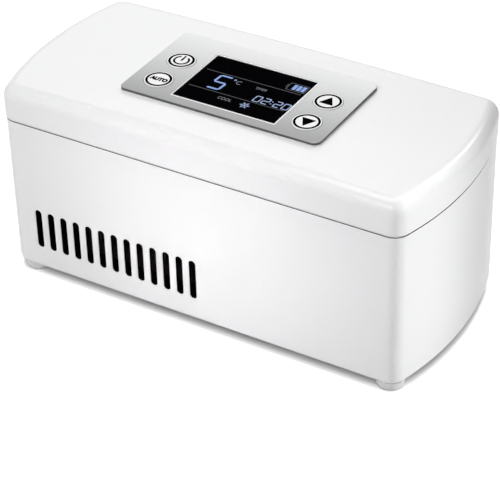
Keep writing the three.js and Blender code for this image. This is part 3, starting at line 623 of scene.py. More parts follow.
# Hinge knuckles
def knuckle_profile(side, edge):
    """Barrel and web; side is 1 above the hinge line and -1 below, edge the web's inner edge from it."""
    root = HOUSING_SIDE - OVERCUT
    last = -math.pi - math.asin(edge / KNUCKLE_RADIUS)
    barrel = arc(HINGE_Y, 0, KNUCKLE_RADIUS, math.pi / 4, last, KNUCKLE_STEPS)
    points = [(root, KNUCKLE_REACH), *barrel, (root, edge)]
    return [(y, HINGE_Z + side * rise) for y, rise in points]


def knuckles(spans, side, edge):
    profile = knuckle_profile(side, edge)
    lofts = [[[(y, z, x) for y, z in profile] for x in ends] for ends in spans]
    return soften(solids("knuckles", lofts, turn=along_x), KNUCKLE_SOFTNESS)


def hinge_rods(name, radius, overhang):
    line = circle(HINGE_Y, HINGE_Z, radius, count=32)
    reach = HINGE_HALF + overhang
    end = PIN_RADIUS / 4
    lofts = [stack(line, rounded(x - reach, x + reach, end, end)) for x in HINGE_PLACES]
    return solids(name, lofts, turn=along_x)


# Lower housing
COVER_SIZE = plan_size("base_cover")
COVER_LEDGE = 6
COVER_CORNER = 5
COVER_EDGE = 0.3
INLET = middle("power_inlet")
INLET_HOLE = 4.3


def vent_cutter():
    lofts = []
    for i in range(SLOT_COUNT):
        x = VENT_X + (i - (SLOT_COUNT - 1) / 2) * SLOT_PITCH
        line = rectangle(SLOT_WIDTH, SLOT_HEIGHT, SLOT_WIDTH / 2 - LEAST, x, SLOT_Z, steps=8)
        lofts.append(stack(line, mouth(-HOUSING_SIDE, -HOUSING_SIDE + VENT_WALL, low=SLOT_SOFTNESS)))
        lofts.append(stack(line, mouth(HOUSING_SIDE - VENT_WALL, HOUSING_SIDE, high=SLOT_SOFTNESS)))
    return solids("vents", lofts, turn=along_y)


def vent_pockets():
    """Rooms behind the slots, where the wall is thinner."""
    length = (SLOT_COUNT - 1) * SLOT_PITCH + SLOT_WIDTH + 2 * VENT_MARGIN
    line = rectangle(length, SLOT_HEIGHT + 2 * VENT_MARGIN, VENT_CORNER, VENT_X, SLOT_Z)
    depths = (VENT_WALL, HOUSING_WALL + OVERCUT)
    lofts = [stack(line, [(0, side * (HOUSING_SIDE - depth)) for depth in depths]) for side in (-1, 1)]
    return solids("pockets", lofts, turn=along_y)


housing = solid(
    "housing", case_plan(LID_OVERHANG), rounded(UNDERSIDE, HOUSING_TOP, BOTTOM_FILLET, RIM_ROUNDING, steps=8),
)
housing_spans = [
    (x + side * (KNUCKLE_MIDDLE / 2 + CLEARANCE), x + side * HINGE_HALF)
    for x in HINGE_PLACES
    for side in (-1, 1)
]
combine(housing, knuckles(housing_spans, -1, HINGE_Z - HOUSING_TOP + RIM_ROUNDING), "UNION")
rebate_size = grown(COVER_SIZE, CLEARANCE)
opening_size = grown(rebate_size, -COVER_LEDGE)
carve(
    housing,
    solid("cavity", case_plan(LID_OVERHANG), [
        (HOUSING_WALL, FLOOR_TOP), (HOUSING_WALL, DECK_UNDER),
        (RIM_WALL, DECK_UNDER), (RIM_WALL, HOUSING_TOP + OVERCUT),
    ]),
    solid(
        "rebate", rectangle(*rebate_size, COVER_CORNER),
        mouth(UNDERSIDE, COVER_TOP - OVERCUT, low=COVER_EDGE),
    ),
    solid(
        "opening", rectangle(*opening_size, COVER_CORNER),
        [(0, UNDERSIDE - OVERCUT), (0, FLOOR_TOP + OVERCUT)],
    ),
    vent_pockets(),
    vent_cutter(),
    solid(
        "inlet hole", circle(INLET.x, INLET.z, INLET_HOLE),
        mouth(HALF_WIDTH - HOUSING_WALL - OVERCUT, HOUSING_SIDE), turn=along_y,
    ),
    hinge_rods("bores", PIN_RADIUS + CLEARANCE / 2, OVERCUT),
)
dress(smooth(housing), "base", "white_gloss", "lower_housing")
shade_inside(housing, COVER_TOP - CLEARANCE, DECK_UNDER + CLEARANCE)
shade_seam(housing, HOUSING_TOP)

# Lid
PANEL_SIZE = plan_size("control_panel")
WINDOW_SIZE = grown(plan_size("display_window"), CLEARANCE)
WINDOW_Y = place_of("display_window")[1]
DISPLAY_LEDGE = 1.8
DISPLAY_CORNER = 1
key_places = {key: place_of(f"{key}_button") for key in KEYS}


def lid_ring(inset, z, crown):
    return [(x, y, z - crown * (x / HALF_LENGTH) ** 2) for x, y in case_plan(0)(inset)]


def button_holes(radius, levels):
    lofts = [stack(circle(*place, radius), levels) for place in key_places.values()]
    return solids("button holes", lofts)


rim = rounded(LID_BOTTOM, LID_BOTTOM + LID_RIM, RIM_ROUNDING)
fillet = rounded(LID_BOTTOM, LID_TOP, high=LID_FILLET, steps=FILLET_STEPS)[1:]
lid_rings = [lid_ring(inset, z, 0) for inset, z in rim]
lid_rings += [lid_ring(inset, z, LID_CROWN) for inset, z in fillet]
lid = solids("lid", [lid_rings], strip=True)
lid_spans = [(x - KNUCKLE_MIDDLE / 2, x + KNUCKLE_MIDDLE / 2) for x in HINGE_PLACES]
combine(lid, knuckles(lid_spans, 1, LID_BOTTOM - HINGE_Z), "UNION")
seat_size = grown(PANEL_SIZE, PANEL_GAP)
display_size = grown(WINDOW_SIZE, -DISPLAY_LEDGE)
through_roof = [(0, LID_CEILING - OVERCUT), (0, LID_TOP)]
carve(
    lid,
    solid("cavity", case_plan(LID_WALL), [
        (0, LID_BOTTOM - OVERCUT), (0, LID_CEILING - LID_INNER_CHAMFER), (LID_INNER_CHAMFER, LID_CEILING),
    ]),
    solid(
        "seat", rectangle(*seat_size, PANEL_CORNER + PANEL_GAP, y=PANEL_Y),
        [(0, PANEL_SEAT), (0, LID_TOP + OVERCUT)],
    ),
    solid("display mouth", rectangle(*display_size, DISPLAY_CORNER, y=WINDOW_Y), through_roof),
    button_holes(BUTTON_MOUTH, through_roof),
    hinge_rods("bores", PIN_RADIUS + CLEARANCE / 2, OVERCUT),
)
dress(smooth(lid), "lid", "white_gloss", "lid_shell")
shade_seam(lid, LID_BOTTOM)

# Control panel: a thin silver plate with dark steep walls, painted shade, on a plinth in the lid's white
PLATE_UNDER = PANEL_TOP - PLATE_THICKNESS
panel_line = rectangle(*PANEL_SIZE, PANEL_CORNER, y=PANEL_Y, steps=10)
frame_size = grown(WINDOW_SIZE, WINDOW_FRAME)


def panel_layer(name, levels, z0, z1, edge):
    """Layer of the panel between two levels, open at the window and at the buttons."""
    through = mouth(z0, z1, high=edge)
    return carve(
        solid(name, panel_line, levels),
        solid("window mouth", rectangle(*frame_size, MOUTH_CORNER, y=WINDOW_Y), through),
        button_holes(BUTTON_HOLE, through),
    )


panel = panel_layer("panel", [
    (0, PLATE_UNDER),
    (0, PANEL_TOP - PANEL_CHAMFER - CHAMFER_SIDE),
    (CHAMFER_BLEND, PANEL_TOP - PANEL_CHAMFER),
    (PANEL_CHAMFER, PANEL_TOP - CHAMFER_BLEND),
    (PANEL_CHAMFER + CHAMFER_SIDE, PANEL_TOP),
], PLATE_UNDER, PANEL_TOP, HOLE_EDGE)
dress(smooth(panel), "lid", "panel_silver", "control_panel")
# The plate's steep walls, round its outside and its holes, take that colour: painted shade.
panel.data.materials.append(panel_edge_shade)
for face in panel.data.polygons:
    if abs(face.normal.z) < STEEP_NORMAL:
        face.material_index = 1

plinth_levels = [(PLINTH_INSET, PANEL_SEAT), (PLINTH_INSET, PLATE_UNDER)]
plinth = panel_layer("panel_plinth", plinth_levels, PANEL_SEAT, PLATE_UNDER, 0)
dress(smooth(plinth), "lid", "white_gloss")

# Display window in its pale frame
FRAME_TOP = PANEL_TOP - PRINT_HEIGHT
glass_line = rectangle(*WINDOW_SIZE, GLASS_CORNER, y=WINDOW_Y)
frame_line = rectangle(*grown(frame_size, -WINDOW_GAP), FRAME_CORNER, y=WINDOW_Y)
window_frame = solid("window_frame", frame_line, rounded(PANEL_SEAT, FRAME_TOP, high=FRAME_EDGE))
carve(window_frame, solid("glass mouth", glass_line, mouth(PANEL_SEAT, FRAME_TOP)))
dress(smooth(window_frame), "lid", "white_gloss")

window_levels = rounded(PANEL_SEAT, GLASS_TOP, high=GLASS_EDGE)
window = solid("window", glass_line, [(WINDOW_GAP + inset, z) for inset, z in window_levels])
dress(smooth(window), "lid", "display_glass", "display_window")

# Lit marks, placed by shares of the display from its left and from its back edge
lit_blue = glow("lit blue", (0.33, 0.52, 1.0), 0.68)
lit_pale = glow("lit pale", (0.5, 0.64, 1.0), 0.7)
lit_dim = glow("lit dim", (0.55, 0.6, 0.72), 0.3)
lit_grey = glow("lit grey", (0.5, 0.52, 0.56), 0.16)
DIGIT_SEGMENTS = {"0": "abcdef", "2": "abged", "5": "afgcd"}
DIGIT_SLANT = 0.09
RULE_STROKE = 0.28
RULE_SHARES = (0.325, 0.715)
CLOCK_PITCH = 4.3
CLOCK_COLON = 1.7
COLON_RISES = (1.4, 3.3)
COLON_DOT = 0.36
DEGREE_RADIUS = 0.5
DEGREE_STROKE = 0.26
DEGREE_STEPS = 12


def on_display(share_x, share_y):
    length, width = WINDOW_SIZE
    return ((share_x - 0.5) * length, WINDOW_Y + (0.5 - share_y) * width)


def ribbon(points, width):
    """Outline of a stroke of even width along a line of points."""
    left = []
    right = []
    for i, (x, y) in enumerate(points):
        before = Vector(points[max(i - 1, 0)])
        after = Vector(points[min(i + 1, len(points) - 1)])
        across = (after - before).normalized().orthogonal() * width / 2
        left.append((x + across.x, y + across.y))
        right.append((x - across.x, y - across.y))
    return left + right[::-1]


def bar(start, end, stroke):
    """Segment of a digit, with pointed ends."""
    a = Vector(start)
    b = Vector(end)
    along = (b - a).normalized() * stroke / 2
    across = along.orthogonal()
    points = (a, a + along + across, b - along + across, b, b - along - across, a + along - across)
    return [(p.x, p.y) for p in points]


def digit(figure, x, y, width, height, stroke):
    """Seven-segment figure whose lower left corner is at x, y."""
    half = height / 2
    ends = {
        "a": ((0, height), (width, height)), "b": ((width, half), (width, height)),
        "c": ((width, 0), (width, half)), "d": ((0, 0), (width, 0)),
        "e": ((0, 0), (0, half)), "f": ((0, half), (0, height)), "g": ((0, half), (width, half)),
    }
    outlines = [bar(*ends[name], stroke) for name in DIGIT_SEGMENTS[figure]]
    return [[(x + u + DIGIT_SLANT * v, y + v) for u, v in outline] for outline in outlines]


def lettering(name, text, x, y, width, height, z, weight=0.0):
    """Word centred at x, y, fitted to a width and a height; weight thickens its strokes."""
    curve = bpy.data.curves.new(name, "FONT")
    curve.body = text
    curve.extrude = 0.5
    curve.offset = weight
    shape = add(name, curve)
    mesh = final_mesh(shape)
    bpy.data.objects.remove(shape)
    points = [vertex.co for vertex in mesh.vertices]
    low = Vector([min(point[axis] for point in points) for axis in range(3)])
    high = Vector([max(point[axis] for point in points) for axis in range(3)])
    size = high - low
    stretch = Matrix.Diagonal((width / size.x, height / size.y, PRINT_HEIGHT / size.z, 1))
    to_origin = Matrix.Translation((low + high) / -2)
    to_place = Matrix.Translation(world((x, y, z + PRINT_HEIGHT / 2)))
    mesh.transform(to_place @ Matrix.Scale(MM, 4) @ stretch @ to_origin)
    return add(name, mesh)


def mark(name, outlines, lit, z=GLASS_TOP):
    dress(flat(name, outlines, z), "lid", "display_glass", material=lit)


mark("display_rules", [
    ribbon([on_display(0.035, share), on_display(0.965, share)], RULE_STROKE) for share in RULE_SHARES
], lit_grey)
mark("display_reading", digit("5", *on_display(0.187, 0.66), width=6.0, height=11.6, stroke=1.1), lit_blue)

clock_x, clock_y = on_display(0.646, 0.685)
clock = []
for i, figure in enumerate("0220"):
    shift = i * CLOCK_PITCH + (CLOCK_COLON if i > 1 else 0)
    clock += digit(figure, clock_x + shift, clock_y, width=2.9, height=4.7, stroke=0.52)
for rise in COLON_RISES:
    dot_x = clock_x + 2 * CLOCK_PITCH + DIGIT_SLANT * rise
    clock.append(circle(dot_x, clock_y + rise, COLON_DOT, count=12)(0))
mark("display_clock", clock, lit_pale)

degree_halves = [
    arc(*on_display(0.354, 0.39), DEGREE_RADIUS, first, first + math.pi, DEGREE_STEPS)
    for first in (0, math.pi)
]
mark("display_degree", [ribbon(half, DEGREE_STROKE) for half in degree_halves], lit_pale)

WORDS = {
    "display_unit": ("C", 0.401, 0.424, 2.3, 2.9),
    "display_timer": ("TIMER", 0.625, 0.425, 5.8, 1.8),
    "display_cool": ("COOL", 0.432, 0.8, 7.0, 2.1),
}
for name, (text, share_x, share_y, width, height) in WORDS.items():
    word = lettering(name, text, *on_display(share_x, share_y), width, height, GLASS_TOP)
    dress(word, "lid", "display_glass", material=lit_dim)

# Battery sign: an outline with a nub at its left and three bars
SIGN_STROKE = 0.3
NUB_REACH = 0.7
BAR_COUNT = 3
BAR_WIDTH = 1.75
BAR_HEIGHT = 4.3
BAR_PITCH = 2.25
BAR_MARGIN = 0.6
sign_left, sign_low = on_display(0.8, 0.285)
sign_right, sign_high = on_display(0.975, 0.135)
sign_middle = (sign_low + sign_high) / 2
nub = (sign_high - sign_low) / 4
sign_lines = [
    [(sign_left, sign_low), (sign_right, sign_low)],
    [(sign_left, sign_high), (sign_right, sign_high)],
    [(sign_left, sign_low), (sign_left, sign_high)],
    [(sign_right, sign_low), (sign_right, sign_high)],
    [(sign_left - NUB_REACH, sign_low + nub), (sign_left - NUB_REACH, sign_high - nub)],
]
mark("display_battery", [ribbon(line, SIGN_STROKE) for line in sign_lines], lit_grey)
bars = []
for i in range(BAR_COUNT):
    bar_right = sign_right - BAR_MARGIN - i * BAR_PITCH
    bars.append(ribbon([(bar_right - BAR_WIDTH, sign_middle), (bar_right, sign_middle)], BAR_HEIGHT))
mark("display_bars", bars, lit_blue, GLASS_TOP + PRINT_HEIGHT)

# Snowflake: six strokes from the middle with a branch pair on each
FLAKE_RADIUS = 2.5
FLAKE_HEART = 0.2
FLAKE_STROKE = 0.3
TWIG_PLACE = 1.2
TWIG_LENGTH = 0.8
TWIG_STROKE = 0.24
TWIG_ANGLE = math.radians(50)
flake_x, flake_y = on_display(0.632, 0.812)
flake = []
for i in range(6):
    arm = Vector((math.cos(math.pi / 3 * i), math.sin(math.pi / 3 * i)))
    flake.append(ribbon([arm * FLAKE_HEART, arm * FLAKE_RADIUS], FLAKE_STROKE))
    for side in (-1, 1):
        twig = Matrix.Rotation(side * TWIG_ANGLE, 2) @ arm * TWIG_LENGTH
        flake.append(ribbon([arm * TWIG_PLACE, arm * TWIG_PLACE + twig], TWIG_STROKE))
flake = [[(flake_x + x, flake_y + y) for x, y in line] for line in flake]
mark("display_snowflake", flake, lit_pale)

# Buttons with their printed rings and signs
KEY_UNDER, PRINT_TOP = heights("power_button")
KEY_TOP = PRINT_TOP - PRINT_HEIGHT
KEY_SHOULDER = KEY_UNDER + BUTTON_FLANGE_HEIGHT
SHOULDER_STEP = 0.2
RING_OUTER = 6.15
RING_WIDTH = 1.15
TRIANGLE_HALF = 3.5
TRIANGLE_BASE = 2.5
TRIANGLE_TIP = 3.9
POWER_RADIUS = 3.45
POWER_STROKE = 1.0
POWER_GAP = math.radians(32)
POWER_STEPS = 40
POWER_BAR = (-0.4, 4.1)
AUTO_SIZE = (9.0, 3.0)
AUTO_SHIFT = 0.15
AUTO_WEIGHT = 0.08


def power_sign(x, y):
    top = math.pi / 2
    loop = arc(x, y, POWER_RADIUS, top + POWER_GAP, top + 2 * math.pi - POWER_GAP, POWER_STEPS)
    return [ribbon(loop, POWER_STROKE), ribbon([(x, y + rise) for rise in POWER_BAR], POWER_STROKE)]


def triangle(x, y, side):
    return [[
        (x - TRIANGLE_HALF, y - side * TRIANGLE_BASE),
        (x + TRIANGLE_HALF, y - side * TRIANGLE_BASE),
        (x, y + side * TRIANGLE_TIP),
    ]]


for key, place in key_places.items():
    x, y = place
    body = f"{key}_key"
    cap_levels = [(-BUTTON_FLANGE, KEY_UNDER), (-BUTTON_FLANGE, KEY_SHOULDER), (0, KEY_SHOULDER)]
    cap_levels += rounded(KEY_SHOULDER + SHOULDER_STEP, KEY_TOP, high=BUTTON_EDGE)
    cap = solid(f"{key}_cap", circle(*place, BUTTON_RADIUS, count=64), cap_levels)
    dress(smooth(cap), body, "white_gloss", f"{key}_button")
    ring_levels = [(0, KEY_TOP), (0, PRINT_TOP), (RING_WIDTH, PRINT_TOP), (RING_WIDTH, KEY_TOP)]
    ring = solid(f"{key}_ring", circle(*place, RING_OUTER, count=64), ring_levels, closed=True)
    dress(ring, body, "black_plastic", material=print_black)
    if key == "power":
        sign = flat("power_sign", power_sign(*place), KEY_TOP)
    elif key == "auto":
        sign = lettering("auto_sign", "AUTO", x, y + AUTO_SHIFT, *AUTO_SIZE, KEY_TOP, AUTO_WEIGHT)
    else:
        sign = flat(f"{key}_sign", triangle(x, y, 1 if key == "up" else -1), KEY_TOP)
    dress(sign, body, "black_plastic", material=print_black)

# Feet: glossy pads on a narrower neck
FOOT_NECK = 0.8
FOOT_NECK_INSET = 1.2
FOOT_ROUNDING = 1.6
FOOT_SHOULDER = 0.4
for corner in CORNERS:
    node = f"foot_{corner}"
    low, high = heights(node)
    levels = rounded(low, high - FOOT_NECK, FOOT_ROUNDING, FOOT_SHOULDER, steps=6)
    levels += [(FOOT_NECK_INSET, high - FOOT_NECK), (FOOT_NECK_INSET, high)]
    foot = solid(f"{node}_pad", circle(*place_of(node), plan_size(node)[0] / 2, 56), levels)
    dress(smooth(foot), "base", "white_gloss", node, material=foot_gloss_shaded)

# Screws: pan heads that face down, with a cross recess
SCREW_HEAD = 1.3
SCREW_HEAD_RADIUS = 2.2
SCREW_HEAD_ROUNDING = 0.45
SCREW_SHANK_RADIUS = 1.1
SHANK_INSET = SCREW_HEAD_RADIUS - SCREW_SHANK_RADIUS
SCREW_POINT = SHANK_INSET / 2
SCREW_STEPS = 36
RECESS_REACH = 1.3
RECESS_HALF = 0.3
RECESS_DEPTH = 0.75
RECESS_TAPER = 0.15
HEAD_ROOM_EDGE = 0.15


def cross(x, y, reach, half):
    def points(inset):
        a = reach - inset
        b = half - inset / 2
        arm = ((a, -b), (a, b), (b, b))
        quarters = ((1, 0, 0, 1), (0, -1, 1, 0), (-1, 0, 0, -1), (0, 1, -1, 0))
        return [(x + p * u + q * v, y + r * u + s * v) for p, q, r, s in quarters for u, v in arm]

    return points


def screws(name, nodes):
    shapes = []
    recesses = []
    for node in nodes:
        low, high = heights(node)
        shapes.append(stack(circle(*place_of(node), SCREW_HEAD_RADIUS, SCREW_STEPS), [
            *rounded(low, low + SCREW_HEAD, low=SCREW_HEAD_ROUNDING),
            (SHANK_INSET, low + SCREW_HEAD),
            (SHANK_INSET, high - SCREW_POINT),
            (SHANK_INSET + SCREW_POINT, high),
        ]))
        recesses.append(stack(cross(*place_of(node), RECESS_REACH, RECESS_HALF), [
            (0, low - OVERCUT), (0, low), (RECESS_TAPER, low + RECESS_DEPTH),
        ]))
    return smooth(carve(solids(name, shapes), solids("recesses", recesses)))


def screw_holes(nodes, top):
    """Cutters for the heads and shanks of screws, one piece of each."""
    heads = []
    shanks = []
    for node in nodes:
        low = heights(node)[0]
        line = circle(*place_of(node), SCREW_HEAD_RADIUS + CLEARANCE, SCREW_STEPS)
        heads.append(stack(line, [
            (-HEAD_ROOM_EDGE, low - OVERCUT), (-HEAD_ROOM_EDGE, low),
            (0, low + HEAD_ROOM_EDGE), (0, low + SCREW_HEAD),
        ]))
        shanks.append(stack(line, [(SHANK_INSET, low + SCREW_HEAD / 2), (SHANK_INSET, top + OVERCUT)]))
    return solids("head rooms", heads), solids("shank rooms", shanks)


BASE_SCREWS = [f"base_screw_{corner}" for corner in CORNERS]
DOOR_SCREWS = ["door_screw_left", "door_screw_right"]
FAN_SCREWS = ["fan_screw_front", "fan_screw_rear"]
LID_SCREWS = [f"lid_screw_{corner}" for corner in CORNERS]
SCREW_SETS = {
    "base_screws": ("base", BASE_SCREWS),
    "door_screws": ("base", DOOR_SCREWS),
    "fan_screws": ("base", FAN_SCREWS),
    "lid_screws": ("lid", LID_SCREWS),
}
for name, (body, nodes) in SCREW_SETS.items():
    dress(screws(name, nodes), body, "steel", *nodes)

# Base cover with the fan's grille, and the battery door
GRILLE_REACH = 26.5
GRILLE_PITCH = 6
GRILLE_SLOT = 3.2
GRILLE_ROWS = 4
GRILLE_INNER_EDGE = 0.2
BATTERY_ROOM = 0.7
BATTERY_CORNER = 1
DOOR_CORNER = 0.6
DOOR_SEAT_CORNER = 0.8
DOOR_SEAT_EDGE = 0.25
DOOR_EDGE = 0.3
DOOR_INNER_EDGE = 0.2
RIB_COUNT = 5
RIB_PITCH = 3
RIB_WIDTH = 1.4
RIB_LENGTH = 16
RIB_CORNER = 0.68
RIB_DEPTH = 0.6
RIB_FLARE = 0.3
RIB_TAPER = 0.2
DOOR_X = middle("battery_door").x
DOOR_SIZE = plan_size("battery_door")
DOOR_TOP = heights("battery_door")[1]
door_seat_size = grown(DOOR_SIZE, CLEARANCE)
battery_mouth_size = grown(plan_size("battery_pack"), BATTERY_ROOM)

grille = []
for row in range(-GRILLE_ROWS, GRILLE_ROWS):
    y = (row + 0.5) * GRILLE_PITCH
    length = 2 * math.sqrt(GRILLE_REACH ** 2 - y ** 2)
    line = rectangle(length, GRILLE_SLOT, GRILLE_SLOT / 2 - LEAST, VENT_X, y)
    grille.append(stack(line, mouth(UNDERSIDE, COVER_TOP, COVER_EDGE, GRILLE_INNER_EDGE)))
cover = solid(
    "cover", rectangle(*COVER_SIZE, COVER_CORNER - CLEARANCE),
    rounded(UNDERSIDE, COVER_TOP, COVER_EDGE, COVER_EDGE),
)
carve(
    cover,
    solid(
        "battery mouth", rectangle(*battery_mouth_size, BATTERY_CORNER, DOOR_X),
        [(0, UNDERSIDE - OVERCUT), (0, COVER_TOP + OVERCUT)],
    ),
    solid(
        "door seat", rectangle(*door_seat_size, DOOR_SEAT_CORNER, DOOR_X),
        mouth(UNDERSIDE, DOOR_TOP - OVERCUT, low=DOOR_SEAT_EDGE),
    ),
    solids("grille", grille),
    *screw_holes(BASE_SCREWS + FAN_SCREWS, COVER_TOP),
)
dress(smooth(cover), "base", "white_gloss", "base_cover")
shade_inside(cover, COVER_TOP - CLEARANCE, FLOOR_TOP)

door = solid(
    "door", rectangle(*DOOR_SIZE, DOOR_CORNER, DOOR_X),
    rounded(UNDERSIDE, DOOR_TOP, DOOR_EDGE, DOOR_INNER_EDGE),
)
ribs = []
for i in range(RIB_COUNT):
    x = DOOR_X - DOOR_SIZE[0] / 4 + (i - (RIB_COUNT - 1) / 2) * RIB_PITCH
    ribs.append(stack(rectangle(RIB_WIDTH, RIB_LENGTH, RIB_CORNER, x), [
        (-RIB_FLARE, UNDERSIDE - OVERCUT), (-RIB_FLARE, UNDERSIDE), (RIB_TAPER, UNDERSIDE + RIB_DEPTH),
    ]))
carve(door, solids("grip", ribs), *screw_holes(DOOR_SCREWS, DOOR_TOP))
dress(smooth(door), "base", "white_gloss", "battery_door")

# Chamber, deck and the lid's liner and gasket
CHAMBER_LOW, CHAMBER_TOP = heights("cooling_chamber")
FLANGE = 6
SHEET = 1.2
TROUGH_CORNER = 7.2
TROUGH_BEND = 2.5
TROUGH_BEVEL = 0.7
TROUGH_INNER_BEND = 3
TROUGH_LIP = 1
LIP_EDGE = 0.6
FLANGE_LOW_EDGE = 0.2
INNER_EDGE = 0.3
inner_inset = FLANGE + SHEET
flange_line = rectangle(*plan_size("cooling_chamber"), TROUGH_CORNER + FLANGE, steps=10)
lip_low = CHAMBER_TOP - TROUGH_LIP
inside_levels = rounded(CHAMBER_LOW + SHEET, lip_low, low=TROUGH_INNER_BEND)
inside_levels += mouth(lip_low, CHAMBER_TOP, high=LIP_EDGE)[2:]
chamber = solid("chamber", flange_line, [
    (FLANGE + TROUGH_BEND, CHAMBER_LOW),
    (FLANGE + TROUGH_BEVEL, CHAMBER_LOW + TROUGH_BEVEL),
    (FLANGE, CHAMBER_LOW + TROUGH_BEND),
    (FLANGE, DECK_TOP),
    *rounded(DECK_TOP, CHAMBER_TOP, FLANGE_LOW_EDGE, INNER_EDGE),
])
carve(chamber, solid("inside", flange_line, [(inner_inset + inset, z) for inset, z in inside_levels]))
dress(smooth(chamber), "base", "alloy", "cooling_chamber")

deck = solid(
    "deck", case_plan(LID_OVERHANG + RIM_WALL + CLEARANCE), rounded(DECK_UNDER, DECK_TOP, high=INNER_EDGE),
    strip=True,
)
carve(deck, solid("trough room", flange_line, [
    (FLANGE - CLEARANCE, DECK_UNDER - OVERCUT), (FLANGE - CLEARANCE, DECK_TOP + OVERCUT),
]))
dress(smooth(deck), "base", "inner_white", "chamber_deck")

PLUG_GAP = 2
PLUG_ROUNDING = 1.5
PLUG_LOW = heights("lid_liner")[0]
plug_inset = inner_inset + PLUG_GAP
hollow_inset = plug_inset + LINER_SHEET
plug_levels = rounded(PLUG_LOW, LID_BOTTOM + OVERCUT, low=PLUG_ROUNDING)
liner = solid(
    "liner", case_plan(LID_WALL + CLEARANCE), rounded(LID_BOTTOM, LINER_TOP, INNER_EDGE), strip=True,
)
combine(liner, solid("plug", flange_line, [(plug_inset + inset, z) for inset, z in plug_levels]), "UNION")
carve(
    liner,
    solid("hollow", flange_line, [
        (hollow_inset, PLUG_LOW + LINER_SHEET), (hollow_inset, LINER_TOP + OVERCUT),
    ]),
    *screw_holes(LID_SCREWS, LINER_TOP),
)
dress(smooth(liner), "lid", "inner_white", "lid_liner")

GASKET_WIDTH = 4
GASKET_CORNER = 12
GASKET_SOLE = 0.4
GASKET_STEPS = 8
GASKET_SMOOTHING = 60
gasket_low, gasket_high = heights("lid_gasket")
bead_top = gasket_high - GASKET_SOLE
bead = arc(0, 0, 1, math.pi, 0, GASKET_STEPS)
section = [(0, gasket_high)]
section += [(GASKET_WIDTH / 2 * (1 + x), bead_top - (bead_top - gasket_low) * y) for x, y in bead]
section.append((GASKET_WIDTH, gasket_high))
gasket_line = rectangle(*plan_size("lid_gasket"), GASKET_CORNER, steps=10)
gasket = solid("gasket", gasket_line, section, closed=True)
dress(smooth(gasket, GASKET_SMOOTHING), "lid", "seal_rubber", "lid_gasket")

# Rear fittings
INLET_FLANGE = 5.5
INLET_BODY_RADIUS = 4
INLET_EDGE = 0.5
INLET_SOCKET = 2.8
INLET_DEPTH = 9
SOCKET_EDGE = 0.5
SOCKET_BEVEL = (0.1, 0.15)
INLET_PIN = 1.05
INLET_PIN_EDGE = 0.4
INLET_STEP = 0.2
inlet_back = span("power_inlet")[0].y - CENTRE_Y
inlet_face = span("power_inlet")[1].y - CENTRE_Y
socket_inset = INLET_FLANGE - INLET_SOCKET
socket_floor = HOUSING_SIDE - INLET_DEPTH
inlet = solid("inlet", circle(INLET.x, INLET.z, INLET_FLANGE), [
    (INLET_FLANGE - INLET_BODY_RADIUS, inlet_back),
    (INLET_FLANGE - INLET_BODY_RADIUS, HOUSING_SIDE),
    (0, HOUSING_SIDE),
    *rounded(HOUSING_SIDE + INLET_STEP, inlet_face, high=INLET_EDGE),
    (socket_inset - SOCKET_EDGE, inlet_face),
    (socket_inset - SOCKET_BEVEL[0], inlet_face - SOCKET_BEVEL[1]),
    (socket_inset, inlet_face - SOCKET_EDGE),
    (socket_inset, socket_floor),
], turn=along_y)
dress(smooth(inlet), "base", "black_plastic", "power_inlet")
pin = solid(
    "inlet_pin", circle(INLET.x, INLET.z, INLET_PIN, count=24),
    rounded(socket_floor - INLET_STEP, HOUSING_SIDE, high=INLET_PIN_EDGE), turn=along_y,
)
dress(smooth(pin), "base", "steel")
hinge_pins = hinge_rods("hinge_pins", PIN_RADIUS, 0)
dress(smooth(hinge_pins), "base", "steel", "hinge_pin_left", "hinge_pin_right")

# Fan wheel: a cup with seven cambered blades
fan_low, fan_high = heights("fan_rotor")
HUB_RADIUS = 13
HUB_WALL = 1.2
HUB_EDGE = 0.8
HUB_STEP = 0.2
AXLE_RADIUS = 1
FAN_GAP = 2.7
BLADE_COUNT = 7
BLADE_OVERLAP = 0.6
BLADE_ROOT = HUB_RADIUS - BLADE_OVERLAP
BLADE_TIP = 27.6
BLADE_THICKNESS = 1.0
BLADE_CAMBER = 0.9
BLADE_CHORDS = (7.5, 9.5)
BLADE_PITCHES = (44, 30)
BLADE_SPANS = 6
BLADE_STEPS = 8
BLADE_EDGE = 0.02
hub_low = COVER_TOP + FAN_GAP
blade_middle = (hub_low + fan_high) / 2


def between(ends, share):
    return ends[0] + (ends[1] - ends[0]) * share


def blade_section(share):
    """Closed section of a blade at a share of its length: travel round the hub and height of its points."""
    pitch = math.radians(between(BLADE_PITCHES, share))
    chord = between(BLADE_CHORDS, share)
    upper = []
    lower = []
    for i in range(BLADE_STEPS + 1):
        run = i / BLADE_STEPS - 0.5
        camber = BLADE_CAMBER * (1 - 4 * run ** 2)
        half = BLADE_THICKNESS / 2 * math.sqrt(max(1 - (2 * run) ** 4, BLADE_EDGE))
        for side, line in ((1, upper), (-1, lower)):
            point = Matrix.Rotation(pitch, 2) @ Vector((run * chord, camber + side * half))
            line.append((point.x, point.y))
    return upper + lower[::-1]


